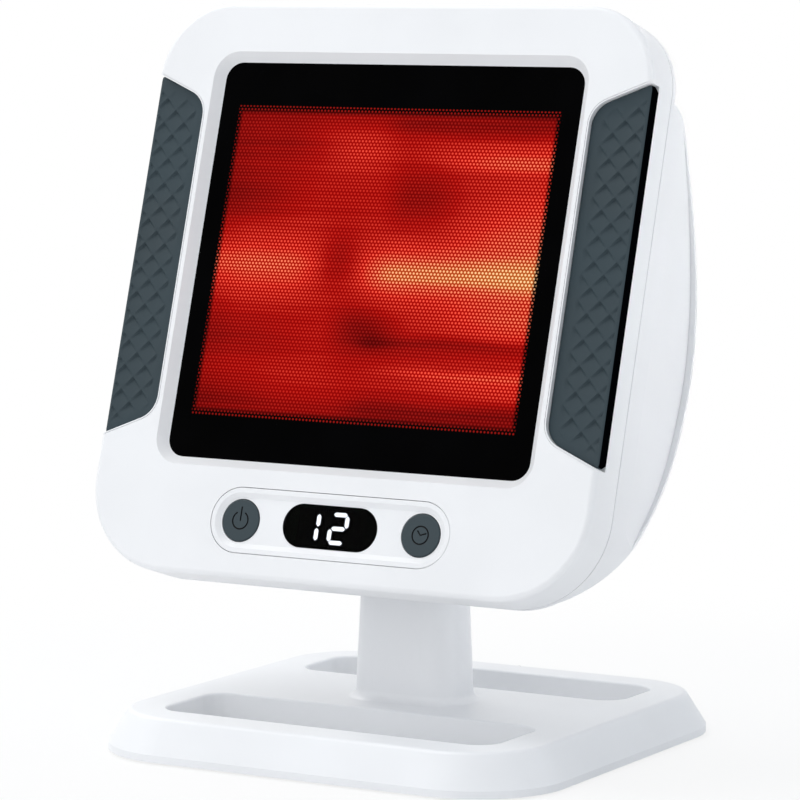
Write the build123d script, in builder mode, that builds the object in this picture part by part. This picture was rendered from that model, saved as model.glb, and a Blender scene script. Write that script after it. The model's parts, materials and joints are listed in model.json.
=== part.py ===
from build123d import *
import os
from math import atan2, cos, degrees, radians, sin, tan

# Infrared heat therapy lamp: a square head with a glowing ceramic glass window, hung on a
# friction hinge at the top of a short neck that rises from a flat base with two long openings.
# Millimetres, +Z up, origin on the table under the centre of the base, the window faces -Y.

os.makedirs("parts", exist_ok=True)

# ------------------------------------------------------------------ clearances and walls
SEAM_GAP = 0.4  # shadow line between two mouldings
FIT_GAP = 0.3  # between pieces that move past each other
SEAT_GAP = 0.1  # between a piece and the pocket that holds it
RUN_GAP = 0.05  # radial clearance of a pin in its bore
WALL = 2.5  # moulded walls
SHEET = 0.8  # steel and aluminium sheet
CUT_OVER = 2.0  # how far a cutting shape runs past the face it cuts

# ------------------------------------------------------------------ base
BASE_W = 192.4
BASE_D = 188.8
BASE_R = 37.3
BASE_TOP = 16.4
BASE_INSET = 8.1  # how far the sloping side draws in from foot to top
BASE_EDGE_R = 2.5
FOOT_PROUD = 0.8
FOOT_DIA = 12.0
FOOT_SINK = 0.8
FOOT_X = 74.0
FOOT_Y = 76.0
PLATE_T = 2.8
SLOT_W = 144.7
SLOT_R = 10.0
FRONT_SLOT = (-70.7, -27.8)  # near and far edge
BACK_SLOT = (33.7, 71.5)
SLOT_EDGE_R = 1.0
BOSS_DIA = 7.0
BASE_BOSSES = [(80.0, 3.0), (-80.0, 3.0), (58.0, -79.0), (-58.0, -79.0), (58.0, 79.3), (-58.0, 79.3)]
SCREW_DIA = 3.0
SCREW_HEAD_DIA = 5.6
SCREW_HEAD_H = 1.6
BASE_SCREW_L = 8.0
INLET_DIA = 8.0
INLET_BORE = 6.0
INLET_FLANGE_DIA = 10.6
INLET_FLANGE_T = 1.5
INLET_L = 9.0
INLET_UP = 6.5  # above the top of the base plate
INLET_BACK = 5.4  # seat of the flange, in from the back of the base
INLET_PAD_W = 16.0

# ------------------------------------------------------------------ neck
NECK_Y = 2.5
NECK_HALF_X = 23.4  # half width at the base's top
NECK_HALF_Y = 15.0
NECK_R = 13.0
NECK_TAPER = 2.5  # degrees
NECK_ROOT_R = 3.6
NECK_WALL = 3.0
SPIGOT_STEP = 1.2  # the neck's spigot is this much inside its outline
SPIGOT_L = 7.0
PIVOT_Z = 125.8

# ------------------------------------------------------------------ head
TILT = 16.67  # face leans back from upright
TILT_BACK = 13.3  # further travel of the head backwards
PIVOT_UP = -49.3  # hinge axis seen from the glass centre, along the face
PIVOT_OUT = -50.2  # and square to it
HEAD_W = 215.0
HEAD_TOP = 101.6
HEAD_BOTTOM = -123.8
HEAD_R_TOP = 30.0
HEAD_R_BOTTOM = 35.0
FACE_OUT = 3.84
FACE_EDGE_R = 2.2
PARTING = -14.7
SLAB_BACK = -17.5
HUMP_TOP = 75.8
HUMP_R_TOP = 12.0
# back of the hump from its top to the foot of the head: (up the face, out of the face)
HUMP_BACK = [(68.5, -27.0), (54.0, -36.4), (20.0, -55.2), (-5.0, -63.6), (-25.0, -65.8), (-45.0, -63.6),
             (-68.0, -56.2), (-86.0, -44.6), (-101.0, -32.6), (-114.0, -22.4)]
SCOOP_START = -26.8
SCOOP_ANGLE = 4.0
SCOOP_LIP = 2.0
HUMP_EDGE_R = 1.2

# ------------------------------------------------------------------ window
GLASS_VIEW = 157.0
GLASS_VIEW_R = 7.1
WINDOW_SLOPE = 3.45
GLASS_LAP = 3.5
GLASS_T = 4.0
SEAL_T = 0.8
SEAL_W = 3.0
CLAMP_T = 1.2
CLAMP_W = 178.0
CLAMP_H = 170.0
LIGHT_W = 144.0
LIGHT_H = 126.0
CLAMP_X = 86.0
CLAMP_ROWS = (44.0, 0.0, -44.0)
CLAMP_SCREW_L = 4.5

# ------------------------------------------------------------------ lamp box
BOX_W = 150.0
BOX_H = 132.0
BOX_BACK = -25.0
TUBE_UP = 1.5
TUBE_OUT = -14.2
TUBE_DIA = 10.0
TUBE_WALL = 1.0
TUBE_HALF = 62.0
CAP_DIA = 12.0
CAP_L = 7.0
CAP_LAP = 2.0
SOCKET_SIZE = 16.0
SOCKET_LAP = 2.0
FILAMENT_DIA = 1.6
REFLECTOR_EDGE = -9.0
CUTOUT_DIA = 14.0
CUTOUT_T = 5.0
CUTOUT_X = 52.0
CUTOUT_OUT = -16.0

# ------------------------------------------------------------------ chassis and hinge
CHASSIS_T = 1.5
CHASSIS_W = 180.0
CHASSIS_TOP = 52.0
CHASSIS_BOTTOM = -64.0
CHASSIS_BOSS_X = 84.0
CHASSIS_SCREW_L = 8.0
CHASSIS_BOSS_ROWS = (32.0, -44.0)
BRACKET_T = 2.0
BRACKET_EYE_R = 8.0
BRACKET_TOP = -36.0
BRACKET_BOTTOM = -63.0
PIN_DIA = 6.0
PIN_HEAD_DIA = 11.0
PIN_HEAD_T = 3.5
NUT_FLATS = 11.0
NUT_T = 5.0
BUSH_WALL = 2.0
COLLAR_DIA = 14.0
COLLAR_SINK = 1.2
SPRING_T = 0.8
SPRING_RISE = 0.8
SPRING_DIA = 11.0
CHANNEL_GAP = 0.8  # room each side of the neck in the channel at the back of the head
CHANNEL_REACH = 55.0  # how far below the hinge the channel clears the widening neck

# ------------------------------------------------------------------ grips
GRIP_INNER = 84.5
GRIP_HALF_H = 62.5  # where the straight inner edge would meet the slanting ends
GRIP_TIP = 72.3
GRIP_R = 10.0
GRIP_SINK = 1.9
GRIP_T = 3.0
GRIP_SIDE_T = 2.4
GRIP_SIDE_BACK = -3.3
GRIP_PAD_T = 4.8
GRIP_LIP = 0.45  # narrow lip between a grip's seat and the fine line round it
GRIP_LINE_W = 0.3
GRIP_LINE_DEEP = 0.5

# ------------------------------------------------------------------ control panel
PANEL_UP = -101.7
PANEL_W = 103.4
PANEL_H = 25.1
PANEL_RIM = 1.9
DISH_RUN = 1.9  # width of the sloping wall round the dish
PANEL_DISH = 1.2
PANEL_FLOOR_T = 1.6
PANEL_WALL = 2.4
PANEL_FLANGE = 1.8
PANEL_FLANGE_T = 1.2
PANEL_GAP = 0.2
PANEL_EDGE_R = 0.4
BUTTON_GAP = 0.25
BUTTON_EDGE_R = 0.6
BUTTON_SET_IN = 0.1  # from the centre of the panel's round end
BUTTON_DIA = 16.2
BUTTON_PROUD = 0.5
BUTTON_FLANGE = 1.2
BUTTON_FLANGE_T = 1.0
BUTTON_TRAVEL = 0.8
BUTTON_STEM_DIA = 5.0
DISPLAY_W = 40.7
DISPLAY_H = 16.6
LENS_PROUD = 0.1
LENS_T = 1.0
LENS_FLANGE = 1.2
LENS_FLANGE_T = 0.8
DIGIT_H = 12.3
DIGIT_W = 8.1
DIGIT_STROKE = 1.6
DIGIT_LEAN = 4.0
DIGIT_GAP = 0.32
DIGIT_T = 0.2
DIGITS_X = (-9.35, 2.9)  # middle of the tens and of the units
MODULE_W = 28.0
MODULE_H = 14.2
BOARD_T = 1.6
BOARD_OUT = -9.0
BOARD_REACH = 10.3  # past each end of the control panel
BOARD_TRIM = 0.1  # lower than the control panel by
BOARD_SCREW_REACH = 6.3  # past each end of the control panel
BOARD_SCREW_L = 8.0
SWITCH_SIZE = 6.0
SWITCH_H = 3.5
BOARD_BOSS_DIA = 6.0
CHIP_SIZE = (10.0, 10.0)
CHIP_H = 2.0
PLUG_SOCKET_X = 30.0
PLUG_SOCKET_SIZE = (15.0, 6.0)
PLUG_SOCKET_H = 7.0
TRANSFORMER_AT = (-7.0, 9.0)
TRANSFORMER_SIZE = (19.0, 15.5)
TRANSFORMER_H = 15.0
RELAY_AT = (-6.0, -9.0)
RELAY_SIZE = (18.0, 13.0)
RELAY_H = 11.0
FUSE_AT = (11.0, -9.0)
FUSE_SIZE = (10.0, 9.0)
FUSE_H = 10.0
CAPACITOR_AT = (13.0, 6.0)
CAPACITOR_DIA = 10.0
CAPACITOR_H = 13.0

# ------------------------------------------------------------------ fan, electronics, vents
FAN_SIZE = 50.0
FAN_T = 10.0
FAN_UP = -3.5
FAN_BORE = 46.0
FAN_HUB_DIA = 22.0
FAN_BLADES = 7
FAN_BLADE_T = 1.0
FAN_BLADE_PITCH = 35.0  # degrees
FAN_AXLE_DIA = 3.0
FAN_HOLE = 20.0  # screw holes from the middle
MAINS_W = 48.0
MAINS_H = 40.0
MAINS_X = 54.0
MAINS_UP = -42.0
STANDOFF_H = 3.0
STANDOFF_DIA = 5.0
VENT_W = 52.0
VENT_H = 2.6
VENT_PITCH = 6.0
VENT_ROWS = 9
INTAKE_W = 3.0
INTAKE_H = 12.0
INTAKE_PITCH = 7.0
INTAKE_SLOTS = 6
INTAKE_X = 50.0
INTAKE_UP = -98.0
HEAD_SCREWS = [(93.0, 87.0, -15.9), (-93.0, 87.0, -15.9), (84.0, -99.0, -22.0), (-84.0, -99.0, -22.0)]
HEAD_SCREW_GRIP = 8.0
HEAD_POST_DIA = 9.0
HEAD_POST_FRONT = -13.5
HEAD_BOSS_DIA = 8.0

# ------------------------------------------------------------------ frames
COS_T = cos(radians(TILT))
SIN_T = sin(radians(TILT))
HEAD_Y = NECK_Y - SIN_T * PIVOT_UP + COS_T * PIVOT_OUT
HEAD_Z = PIVOT_Z - COS_T * PIVOT_UP - SIN_T * PIVOT_OUT
HEAD_O = (0, HEAD_Y, HEAD_Z)
HEAD = Plane(origin=HEAD_O, x_dir=(1, 0, 0), z_dir=(0, -COS_T, SIN_T))  # x across, y up the face, z out of it
SIDE = Plane(origin=HEAD_O, x_dir=(0, SIN_T, COS_T), z_dir=(1, 0, 0))  # x up the face, y out of it
PLAN = Plane(origin=HEAD_O, x_dir=(1, 0, 0), z_dir=(0, -SIN_T, -COS_T))  # x across, y out of the face

PLATE_BOTTOM = FOOT_PROUD
PLATE_TOP = PLATE_BOTTOM + PLATE_T
SHELL_H = BASE_TOP - PLATE_TOP
BASE_DRAFT = degrees(atan2(BASE_INSET, SHELL_H))
GLASS_SIZE = GLASS_VIEW + 2 * GLASS_LAP
GLASS_R = GLASS_VIEW_R + GLASS_LAP
SEAL_BACK = -GLASS_T - SEAL_T
CLAMP_BACK = SEAL_BACK - CLAMP_T
FLANGE_BACK = CLAMP_BACK - SHEET
CHASSIS_BACK = BOX_BACK - CHASSIS_T
WEB_BACK = CHASSIS_BACK - BRACKET_T
NECK_TAN = tan(radians(NECK_TAPER))
TOP_HALF_X = NECK_HALF_X - (PIVOT_Z - BASE_TOP) * NECK_TAN
TOP_HALF_Y = NECK_HALF_Y - (PIVOT_Z - BASE_TOP) * NECK_TAN
CHANNEL_HALF = TOP_HALF_X + CHANNEL_REACH * NECK_TAN + CHANNEL_GAP
CHANNEL_TOP = PIVOT_UP + TOP_HALF_Y + CHANNEL_GAP
CHANNEL_FRONT = WEB_BACK - SEAM_GAP - WALL
CHEEK_IN = CHANNEL_HALF + WALL + FIT_GAP
CHEEK_OUT = CHEEK_IN + BRACKET_T
BUSH_R = PIN_DIA / 2 + RUN_GAP + BUSH_WALL
BUSH_END = TOP_HALF_X - COLLAR_SINK
SCOOP_DEEP = tan(radians(SCOOP_ANGLE)) * (SCOOP_START - min(out for up, out in HUMP_BACK))
GRIP_FACE = FACE_OUT - GRIP_SINK
GRIP_BACK = GRIP_FACE - GRIP_T
PAD_IN = GLASS_SIZE / 2 + SEAM_GAP
PAD_HALF_H = GRIP_TIP + GRIP_PAD_T
DISH_FLOOR = FACE_OUT - PANEL_DISH
BUTTON_X = (PANEL_W - PANEL_H) / 2 - BUTTON_SET_IN
BOARD_W = PANEL_W + 2 * BOARD_REACH
BOARD_H = PANEL_H - BOARD_TRIM
BOARD_SCREW_X = PANEL_W / 2 + BOARD_SCREW_REACH
FLOOR_BACK = DISH_FLOOR - PANEL_FLOOR_T
BUTTON_SHELF = FLOOR_BACK - FIT_GAP
BUTTON_BACK = BUTTON_SHELF - BUTTON_FLANGE_T
SWITCH_TOP = BOARD_OUT + SWITCH_H
LENS_FRONT = DISH_FLOOR + LENS_PROUD
MODULE_FRONT = LENS_FRONT - LENS_T - SEAM_GAP - DIGIT_T
BOARD_BACK = BOARD_OUT - BOARD_T
SHELL_FRONT = PARTING - SEAM_GAP
HEAD_MID = (HEAD_TOP + HEAD_BOTTOM) / 2


def rounded(width, height, radius):
    """A rectangle with four equal rounded corners, centred on the sketch origin."""
    with BuildSketch(mode=Mode.PRIVATE) as shape:
        RectangleRounded(width, height, radius)
    return shape.sketch


def head_outline(inset=0.0):
    """Outline of the head seen square to its face, drawn in by inset."""
    with BuildSketch(mode=Mode.PRIVATE) as shape:
        with Locations((0, HEAD_MID)):
            Rectangle(HEAD_W - 2 * inset, HEAD_TOP - HEAD_BOTTOM - 2 * inset)
        fillet(shape.vertices().group_by(Axis.Y)[-1], HEAD_R_TOP - inset)
        fillet(shape.vertices().group_by(Axis.Y)[0], HEAD_R_BOTTOM - inset)
    return shape.sketch


def hump_path(inset=0.0):
    """Points down the back of the hump, from the slab to the foot of the head, drawn in by inset."""
    with BuildLine(mode=Mode.PRIVATE) as path:
        back = Spline(*HUMP_BACK, (HEAD_BOTTOM, SHELL_FRONT))
    count = len(HUMP_BACK) + 1
    points = []
    for k in range(count + 1):
        at = back @ (k / count)
        along = back % (k / count)
        points.append((at.X + along.Y * inset, at.Y - along.X * inset))
    step = Vector(HUMP_BACK[0][0] - HUMP_TOP, HUMP_BACK[0][1] - SLAB_BACK).normalized()
    return [(HUMP_TOP + step.Y * inset, SLAB_BACK - step.X * inset)] + points


def hump_profile(inset=0.0):
    """Side view of the hump, from the face plane to its back, drawn in by inset."""
    path = hump_path(inset)
    with BuildSketch(mode=Mode.PRIVATE) as shape:
        with BuildLine():
            Spline(*path[1:])
            Polyline(path[-1], (path[-1][0], FACE_OUT), (path[0][0], FACE_OUT), path[0], path[1])
        make_face()
    return shape.sketch


def hump_body(side_inset, wall, front):
    """Solid of the hump from the plane at front to its back, drawn in by the walls."""
    profile = hump_profile(wall)
    with BuildPart(mode=Mode.PRIVATE) as body:
        with BuildSketch(SIDE.offset(side_inset - HEAD_W / 2)):
            add(profile)
        extrude(amount=HEAD_W - 2 * side_inset)
        with BuildSketch(HEAD.offset(front)) as plan:
            with Locations((0, (HUMP_TOP + HEAD_BOTTOM) / 2)):
                Rectangle(HEAD_W - 2 * side_inset, HUMP_TOP - HEAD_BOTTOM - 2 * wall)
            fillet(plan.vertices().group_by(Axis.Y)[-1], HUMP_R_TOP - wall / 2)
            fillet(plan.vertices().group_by(Axis.Y)[0], HEAD_R_BOTTOM - side_inset)
        extrude(amount=-HEAD_W, mode=Mode.INTERSECT)
    return body.part


def stadium(length, height):
    """A bar with full round ends, centred on the sketch origin."""
    with BuildSketch(mode=Mode.PRIVATE) as shape:
        SlotOverall(length, height)
    return shape.sketch


def grip_shape(grow=0.0):
    """Both grips seen square to the face: upright inner edge and ends that slant out to the sides."""
    with BuildSketch(mode=Mode.PRIVATE) as shape:
        for side in (1, -1):
            reach = HEAD_W / 2 - GRIP_INNER
            rise = (GRIP_TIP - GRIP_HALF_H) / reach
            with BuildLine():
                Polyline((side * GRIP_INNER, GRIP_HALF_H),
                         (side * (GRIP_INNER + 2 * reach), GRIP_TIP + rise * reach),
                         (side * (GRIP_INNER + 2 * reach), -GRIP_TIP - rise * reach),
                         (side * GRIP_INNER, -GRIP_HALF_H), close=True)
            make_face()
        inner = shape.vertices().sort_by(lambda v: abs(v.X))[:4]
        fillet(inner, GRIP_R)
        if grow:
            offset(amount=grow, kind=Kind.INTERSECTION)
    return shape.sketch


def digits():
    """The lit strokes of the two-digit display, leaning a little, centred on the display."""
    half_h = DIGIT_H / 2
    half_w = DIGIT_W / 2 - DIGIT_STROKE / 2
    reach = half_h - DIGIT_STROKE / 2
    upright = reach - 2 * DIGIT_GAP
    across = 2 * half_w - 2 * DIGIT_GAP
    bars = {"a": (0, reach, across, 0), "g": (0, 0, across, 0), "d": (0, -reach, across, 0),
            "b": (half_w, reach / 2, upright, 90), "c": (half_w, -reach / 2, upright, 90),
            "e": (-half_w, -reach / 2, upright, 90)}
    lean = tan(radians(DIGIT_LEAN))
    thick = DIGIT_STROKE / 2
    with BuildSketch(mode=Mode.PRIVATE) as shape:
        for middle, lit in ((DIGITS_X[0], "bc"), (DIGITS_X[1], "abged")):
            for key in lit:
                x, y, length, turn = bars[key]
                end = length / 2
                # a bar with pointed ends, so neighbours meet on a slanting gap
                with Locations(Location((middle + x + y * lean, y, 0), (0, 0, turn))):
                    Polygon((-end, 0), (-end + thick, -thick), (end - thick, -thick),
                            (end, 0), (end - thick, thick), (-end + thick, thick))
    return shape.sketch


def screw(plane, length, head_h=SCREW_HEAD_H):
    """A pan-head screw whose head stands on the plane and whose shank runs down from it."""
    with BuildPart(plane, mode=Mode.PRIVATE) as body:
        Cylinder(SCREW_HEAD_DIA / 2, head_h, align=(Align.CENTER, Align.CENTER, Align.MIN))
        Cylinder(SCREW_DIA / 2, length, align=(Align.CENTER, Align.CENTER, Align.MAX))
        rim = body.edges().filter_by(GeomType.CIRCLE).sort_by(Axis(plane.origin, plane.z_dir))[-1:]
        fillet(rim, head_h / 3)
    return body.part


def head_plane(x, up, out, facing):
    """Plane on the head, square to the face; facing 1 looks forward and -1 looks back."""
    return Plane(origin=HEAD.from_local_coords((x, up, out)), x_dir=(1, 0, 0), z_dir=HEAD.z_dir * facing)


def slot_outline(slot, grow=0.0):
    """Outline of one long opening in the base, grown by a margin."""
    with BuildSketch(mode=Mode.PRIVATE) as shape:
        with Locations((0, (slot[0] + slot[1]) / 2)):
            RectangleRounded(SLOT_W + 2 * grow, slot[1] - slot[0] + 2 * grow, SLOT_R + grow)
    return shape.sketch


def neck_outline(inset=0.0):
    """Section of the neck at the top of the base."""
    with BuildSketch(mode=Mode.PRIVATE) as shape:
        with Locations((0, NECK_Y)):
            RectangleRounded(2 * (NECK_HALF_X - inset), 2 * (NECK_HALF_Y - inset), NECK_R - inset)
    return shape.sketch


# ================================================================== stand
SLOTS = (FRONT_SLOT, BACK_SLOT)
slot_sketches = [slot_outline(slot) for slot in SLOTS]
slot_walls = [slot_outline(slot, WALL) for slot in SLOTS]
base_outer = rounded(BASE_W, BASE_D, BASE_R)
base_inner = rounded(BASE_W - 2 * WALL, BASE_D - 2 * WALL, BASE_R - WALL)
neck_outer = neck_outline()
neck_inner = neck_outline(NECK_WALL)
INLET_Z = PLATE_TOP + INLET_UP
INLET_SEAT = BASE_D / 2 - INLET_BACK
INLET_PLANE = Plane(origin=(0, INLET_SEAT, INLET_Z), x_dir=(1, 0, 0), z_dir=(0, 1, 0))
SCREW_SINK = SCREW_HEAD_H + SEAT_GAP

# column of the neck, its top rounded about the hinge axis
with BuildPart() as neck_column:
    with BuildSketch(Plane.XY.offset(BASE_TOP)):
        add(neck_outer)
    extrude(amount=PIVOT_Z - BASE_TOP + TOP_HALF_Y, taper=NECK_TAPER)
    with BuildSketch(Plane.YZ):
        with Locations((NECK_Y, PIVOT_Z)):
            Circle(TOP_HALF_Y)
            Rectangle(4 * NECK_HALF_Y, PIVOT_Z, align=(Align.CENTER, Align.MAX))
    extrude(amount=2 * NECK_HALF_X, both=True, mode=Mode.INTERSECT)

# hollow inside the base and the neck
with BuildPart() as stand_hollow:
    with BuildSketch(Plane.XY.offset(PLATE_TOP)):
        add(base_inner)
    extrude(amount=SHELL_H - WALL, taper=BASE_DRAFT)
    for walled in slot_walls:
        with BuildSketch(Plane.XY.offset(PLATE_TOP)):
            add(walled)
        extrude(amount=SHELL_H, mode=Mode.SUBTRACT)
    with BuildSketch(Plane.XY.offset(PLATE_TOP)):
        with Locations(*BASE_BOSSES):
            Circle(BOSS_DIA / 2)
    extrude(amount=SHELL_H, mode=Mode.SUBTRACT)
    # pad that backs the cord inlet
    with BuildSketch(Plane.XY.offset(PLATE_TOP)):
        with Locations((0, INLET_SEAT - WALL)):
            Rectangle(INLET_PAD_W, BASE_D, align=(Align.CENTER, Align.MIN))
    extrude(amount=SHELL_H, mode=Mode.SUBTRACT)
    with BuildSketch(Plane.XY.offset(BASE_TOP - WALL)):
        add(neck_inner)
    extrude(amount=PIVOT_Z - TOP_HALF_Y - BASE_TOP, taper=NECK_TAPER)

# upper base moulding and neck, shaped together and then parted at the top of the base
with BuildPart() as stand_body:
    with BuildSketch(Plane.XY.offset(PLATE_TOP)):
        add(base_outer)
    extrude(amount=SHELL_H, taper=BASE_DRAFT)
    fillet(stand_body.faces().sort_by(Axis.Z)[-1].outer_wire().edges(), BASE_EDGE_R)
    add(neck_column.part)
    top_edges = stand_body.edges().filter_by_position(Axis.Z, BASE_TOP - 0.01, BASE_TOP + 0.01)
    fillet(top_edges.filter_by_position(Axis.Y, NECK_Y - NECK_HALF_Y - 0.1, NECK_Y + NECK_HALF_Y + 0.1)
           .filter_by_position(Axis.X, -NECK_HALF_X - 0.1, NECK_HALF_X + 0.1), NECK_ROOT_R)
    for opening in slot_sketches:
        with BuildSketch(Plane.XY.offset(PLATE_TOP)):
            add(opening)
        extrude(amount=SHELL_H, mode=Mode.SUBTRACT)
    for near, far in SLOTS:
        top_edges = stand_body.edges().filter_by_position(Axis.Z, BASE_TOP - 0.01, BASE_TOP + 0.01)
        fillet(top_edges.filter_by_position(Axis.Y, near - 0.1, far + 0.1)
               .filter_by_position(Axis.X, -SLOT_W / 2 - 0.1, SLOT_W / 2 + 0.1), SLOT_EDGE_R)
    add(stand_hollow.part, mode=Mode.SUBTRACT)
    # bore for the hinge bush, and a seat round each end of it for the friction collars
    with BuildSketch(Plane.YZ):
        with Locations((NECK_Y, PIVOT_Z)):
            Circle(BUSH_R + SEAT_GAP / 2)
    extrude(amount=2 * NECK_HALF_X, both=True, mode=Mode.SUBTRACT)
    for side in (1, -1):
        with BuildSketch(Plane.YZ.offset(side * BUSH_END)):
            with Locations((NECK_Y, PIVOT_Z)):
                Circle(COLLAR_DIA / 2 + FIT_GAP)
        extrude(amount=side * 2 * COLLAR_SINK, mode=Mode.SUBTRACT)
    # pilot holes for the base screws
    with BuildSketch(Plane.XY.offset(PLATE_TOP)):
        with Locations(*BASE_BOSSES):
            Circle(SCREW_DIA / 2 + RUN_GAP)
    extrude(amount=BASE_SCREW_L - (PLATE_T - SCREW_SINK) + SEAM_GAP, mode=Mode.SUBTRACT)
    # spot face and hole for the cord inlet
    with BuildSketch(INLET_PLANE):
        Circle(INLET_FLANGE_DIA / 2 + SEAT_GAP)
    extrude(amount=INLET_BACK + CUT_OVER, mode=Mode.SUBTRACT)
    with BuildSketch(INLET_PLANE):
        Circle(INLET_DIA / 2 + SEAT_GAP / 2)
    extrude(amount=-INLET_L, mode=Mode.SUBTRACT)
# everything above the top of the base, and the spigot that seats the neck in it
with BuildPart() as neck_zone:
    with BuildSketch(Plane.XY.offset(BASE_TOP)):
        Rectangle(BASE_W, BASE_D)
    extrude(amount=PIVOT_Z)
with BuildPart() as spigot_hole:
    with BuildSketch(Plane.XY.offset(BASE_TOP)):
        add(neck_outline(SPIGOT_STEP))
    extrude(amount=-2 * WALL)

with BuildPart() as stand_shell:
    add(stand_body.part)
    add(neck_zone.part, mode=Mode.SUBTRACT)
    add(spigot_hole.part, mode=Mode.SUBTRACT)
stand_shell.part.label = "stand_shell"

with BuildPart() as neck_post:
    add(stand_body.part)
    add(neck_zone.part, mode=Mode.INTERSECT)
    with BuildSketch(Plane.XY.offset(BASE_TOP)):
        add(neck_outline(SPIGOT_STEP + SEAT_GAP))
        add(neck_inner, mode=Mode.SUBTRACT)
    extrude(amount=-SPIGOT_L)
neck_post.part.label = "neck_post"

# closes the base from below and shows as the upright band at its foot
with BuildPart() as base_plate:
    with BuildSketch(Plane.XY.offset(PLATE_BOTTOM)):
        add(base_outer)
        for opening in slot_sketches:
            add(opening, mode=Mode.SUBTRACT)
    extrude(amount=PLATE_T)
    with BuildSketch(Plane.XY.offset(PLATE_BOTTOM)):
        with GridLocations(2 * FOOT_X, 2 * FOOT_Y, 2, 2):
            Circle(FOOT_DIA / 2 + SEAT_GAP)
    extrude(amount=FOOT_SINK, mode=Mode.SUBTRACT)
    with BuildSketch(Plane.XY.offset(PLATE_BOTTOM)):
        with Locations(*BASE_BOSSES):
            Circle(SCREW_DIA / 2 + FIT_GAP)
    extrude(amount=PLATE_T, mode=Mode.SUBTRACT)
    with BuildSketch(Plane.XY.offset(PLATE_BOTTOM)):
        with Locations(*BASE_BOSSES):
            Circle(SCREW_HEAD_DIA / 2 + FIT_GAP)
    extrude(amount=SCREW_SINK, mode=Mode.SUBTRACT)
base_plate.part.label = "base_plate"

with BuildPart() as base_feet:
    with BuildSketch(Plane.XY):
        with GridLocations(2 * FOOT_X, 2 * FOOT_Y, 2, 2):
            Circle(FOOT_DIA / 2)
    extrude(amount=FOOT_PROUD + FOOT_SINK)
base_feet.part.label = "base_feet"

base_screw_planes = [Plane(origin=(x, y, PLATE_BOTTOM + SCREW_SINK), x_dir=(1, 0, 0), z_dir=(0, 0, -1))
                     for x, y in BASE_BOSSES]
base_screw_set = [screw(plane, BASE_SCREW_L) for plane in base_screw_planes]
with BuildPart() as base_screws:
    for one in base_screw_set:
        add(one)
base_screws.part.label = "base_screws"

with BuildPart() as cord_inlet:
    with BuildSketch(INLET_PLANE):
        Circle(INLET_FLANGE_DIA / 2)
    extrude(amount=INLET_FLANGE_T)
    with BuildSketch(INLET_PLANE):
        Circle(INLET_DIA / 2)
    extrude(amount=-INLET_L)
    with BuildSketch(INLET_PLANE.offset(INLET_FLANGE_T)):
        Circle(INLET_BORE / 2)
    extrude(amount=-INLET_FLANGE_T - INLET_L, mode=Mode.SUBTRACT)
cord_inlet.part.label = "cord_inlet"

with BuildPart() as hinge_bush:
    with BuildSketch(Plane.YZ.offset(-BUSH_END)):
        with Locations((NECK_Y, PIVOT_Z)):
            Circle(BUSH_R)
            Circle(PIN_DIA / 2 + RUN_GAP, mode=Mode.SUBTRACT)
    extrude(amount=2 * BUSH_END)
hinge_bush.part.label = "hinge_bush"

# ================================================================== head casing
face_outline = head_outline()
face_inner = head_outline(WALL)
glass_outline = rounded(GLASS_SIZE, GLASS_SIZE, GLASS_R)
window_outline = rounded(GLASS_VIEW, GLASS_VIEW, GLASS_VIEW_R)
WINDOW_TAPER = -degrees(atan2(WINDOW_SLOPE, FACE_OUT))
panel_hole = stadium(PANEL_W + 2 * PANEL_GAP, PANEL_H + 2 * PANEL_GAP)
hump_solid = hump_body(0.0, 0.0, FACE_OUT)
hump_inner = hump_body(WALL + SCOOP_DEEP, WALL, FACE_OUT)
grip_outline = grip_shape(0.0)
grip_hole = grip_shape(SEAT_GAP)
grip_lip = grip_shape(SEAT_GAP + GRIP_LIP)
grip_line = grip_shape(SEAT_GAP + GRIP_LIP + GRIP_LINE_W)

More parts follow.
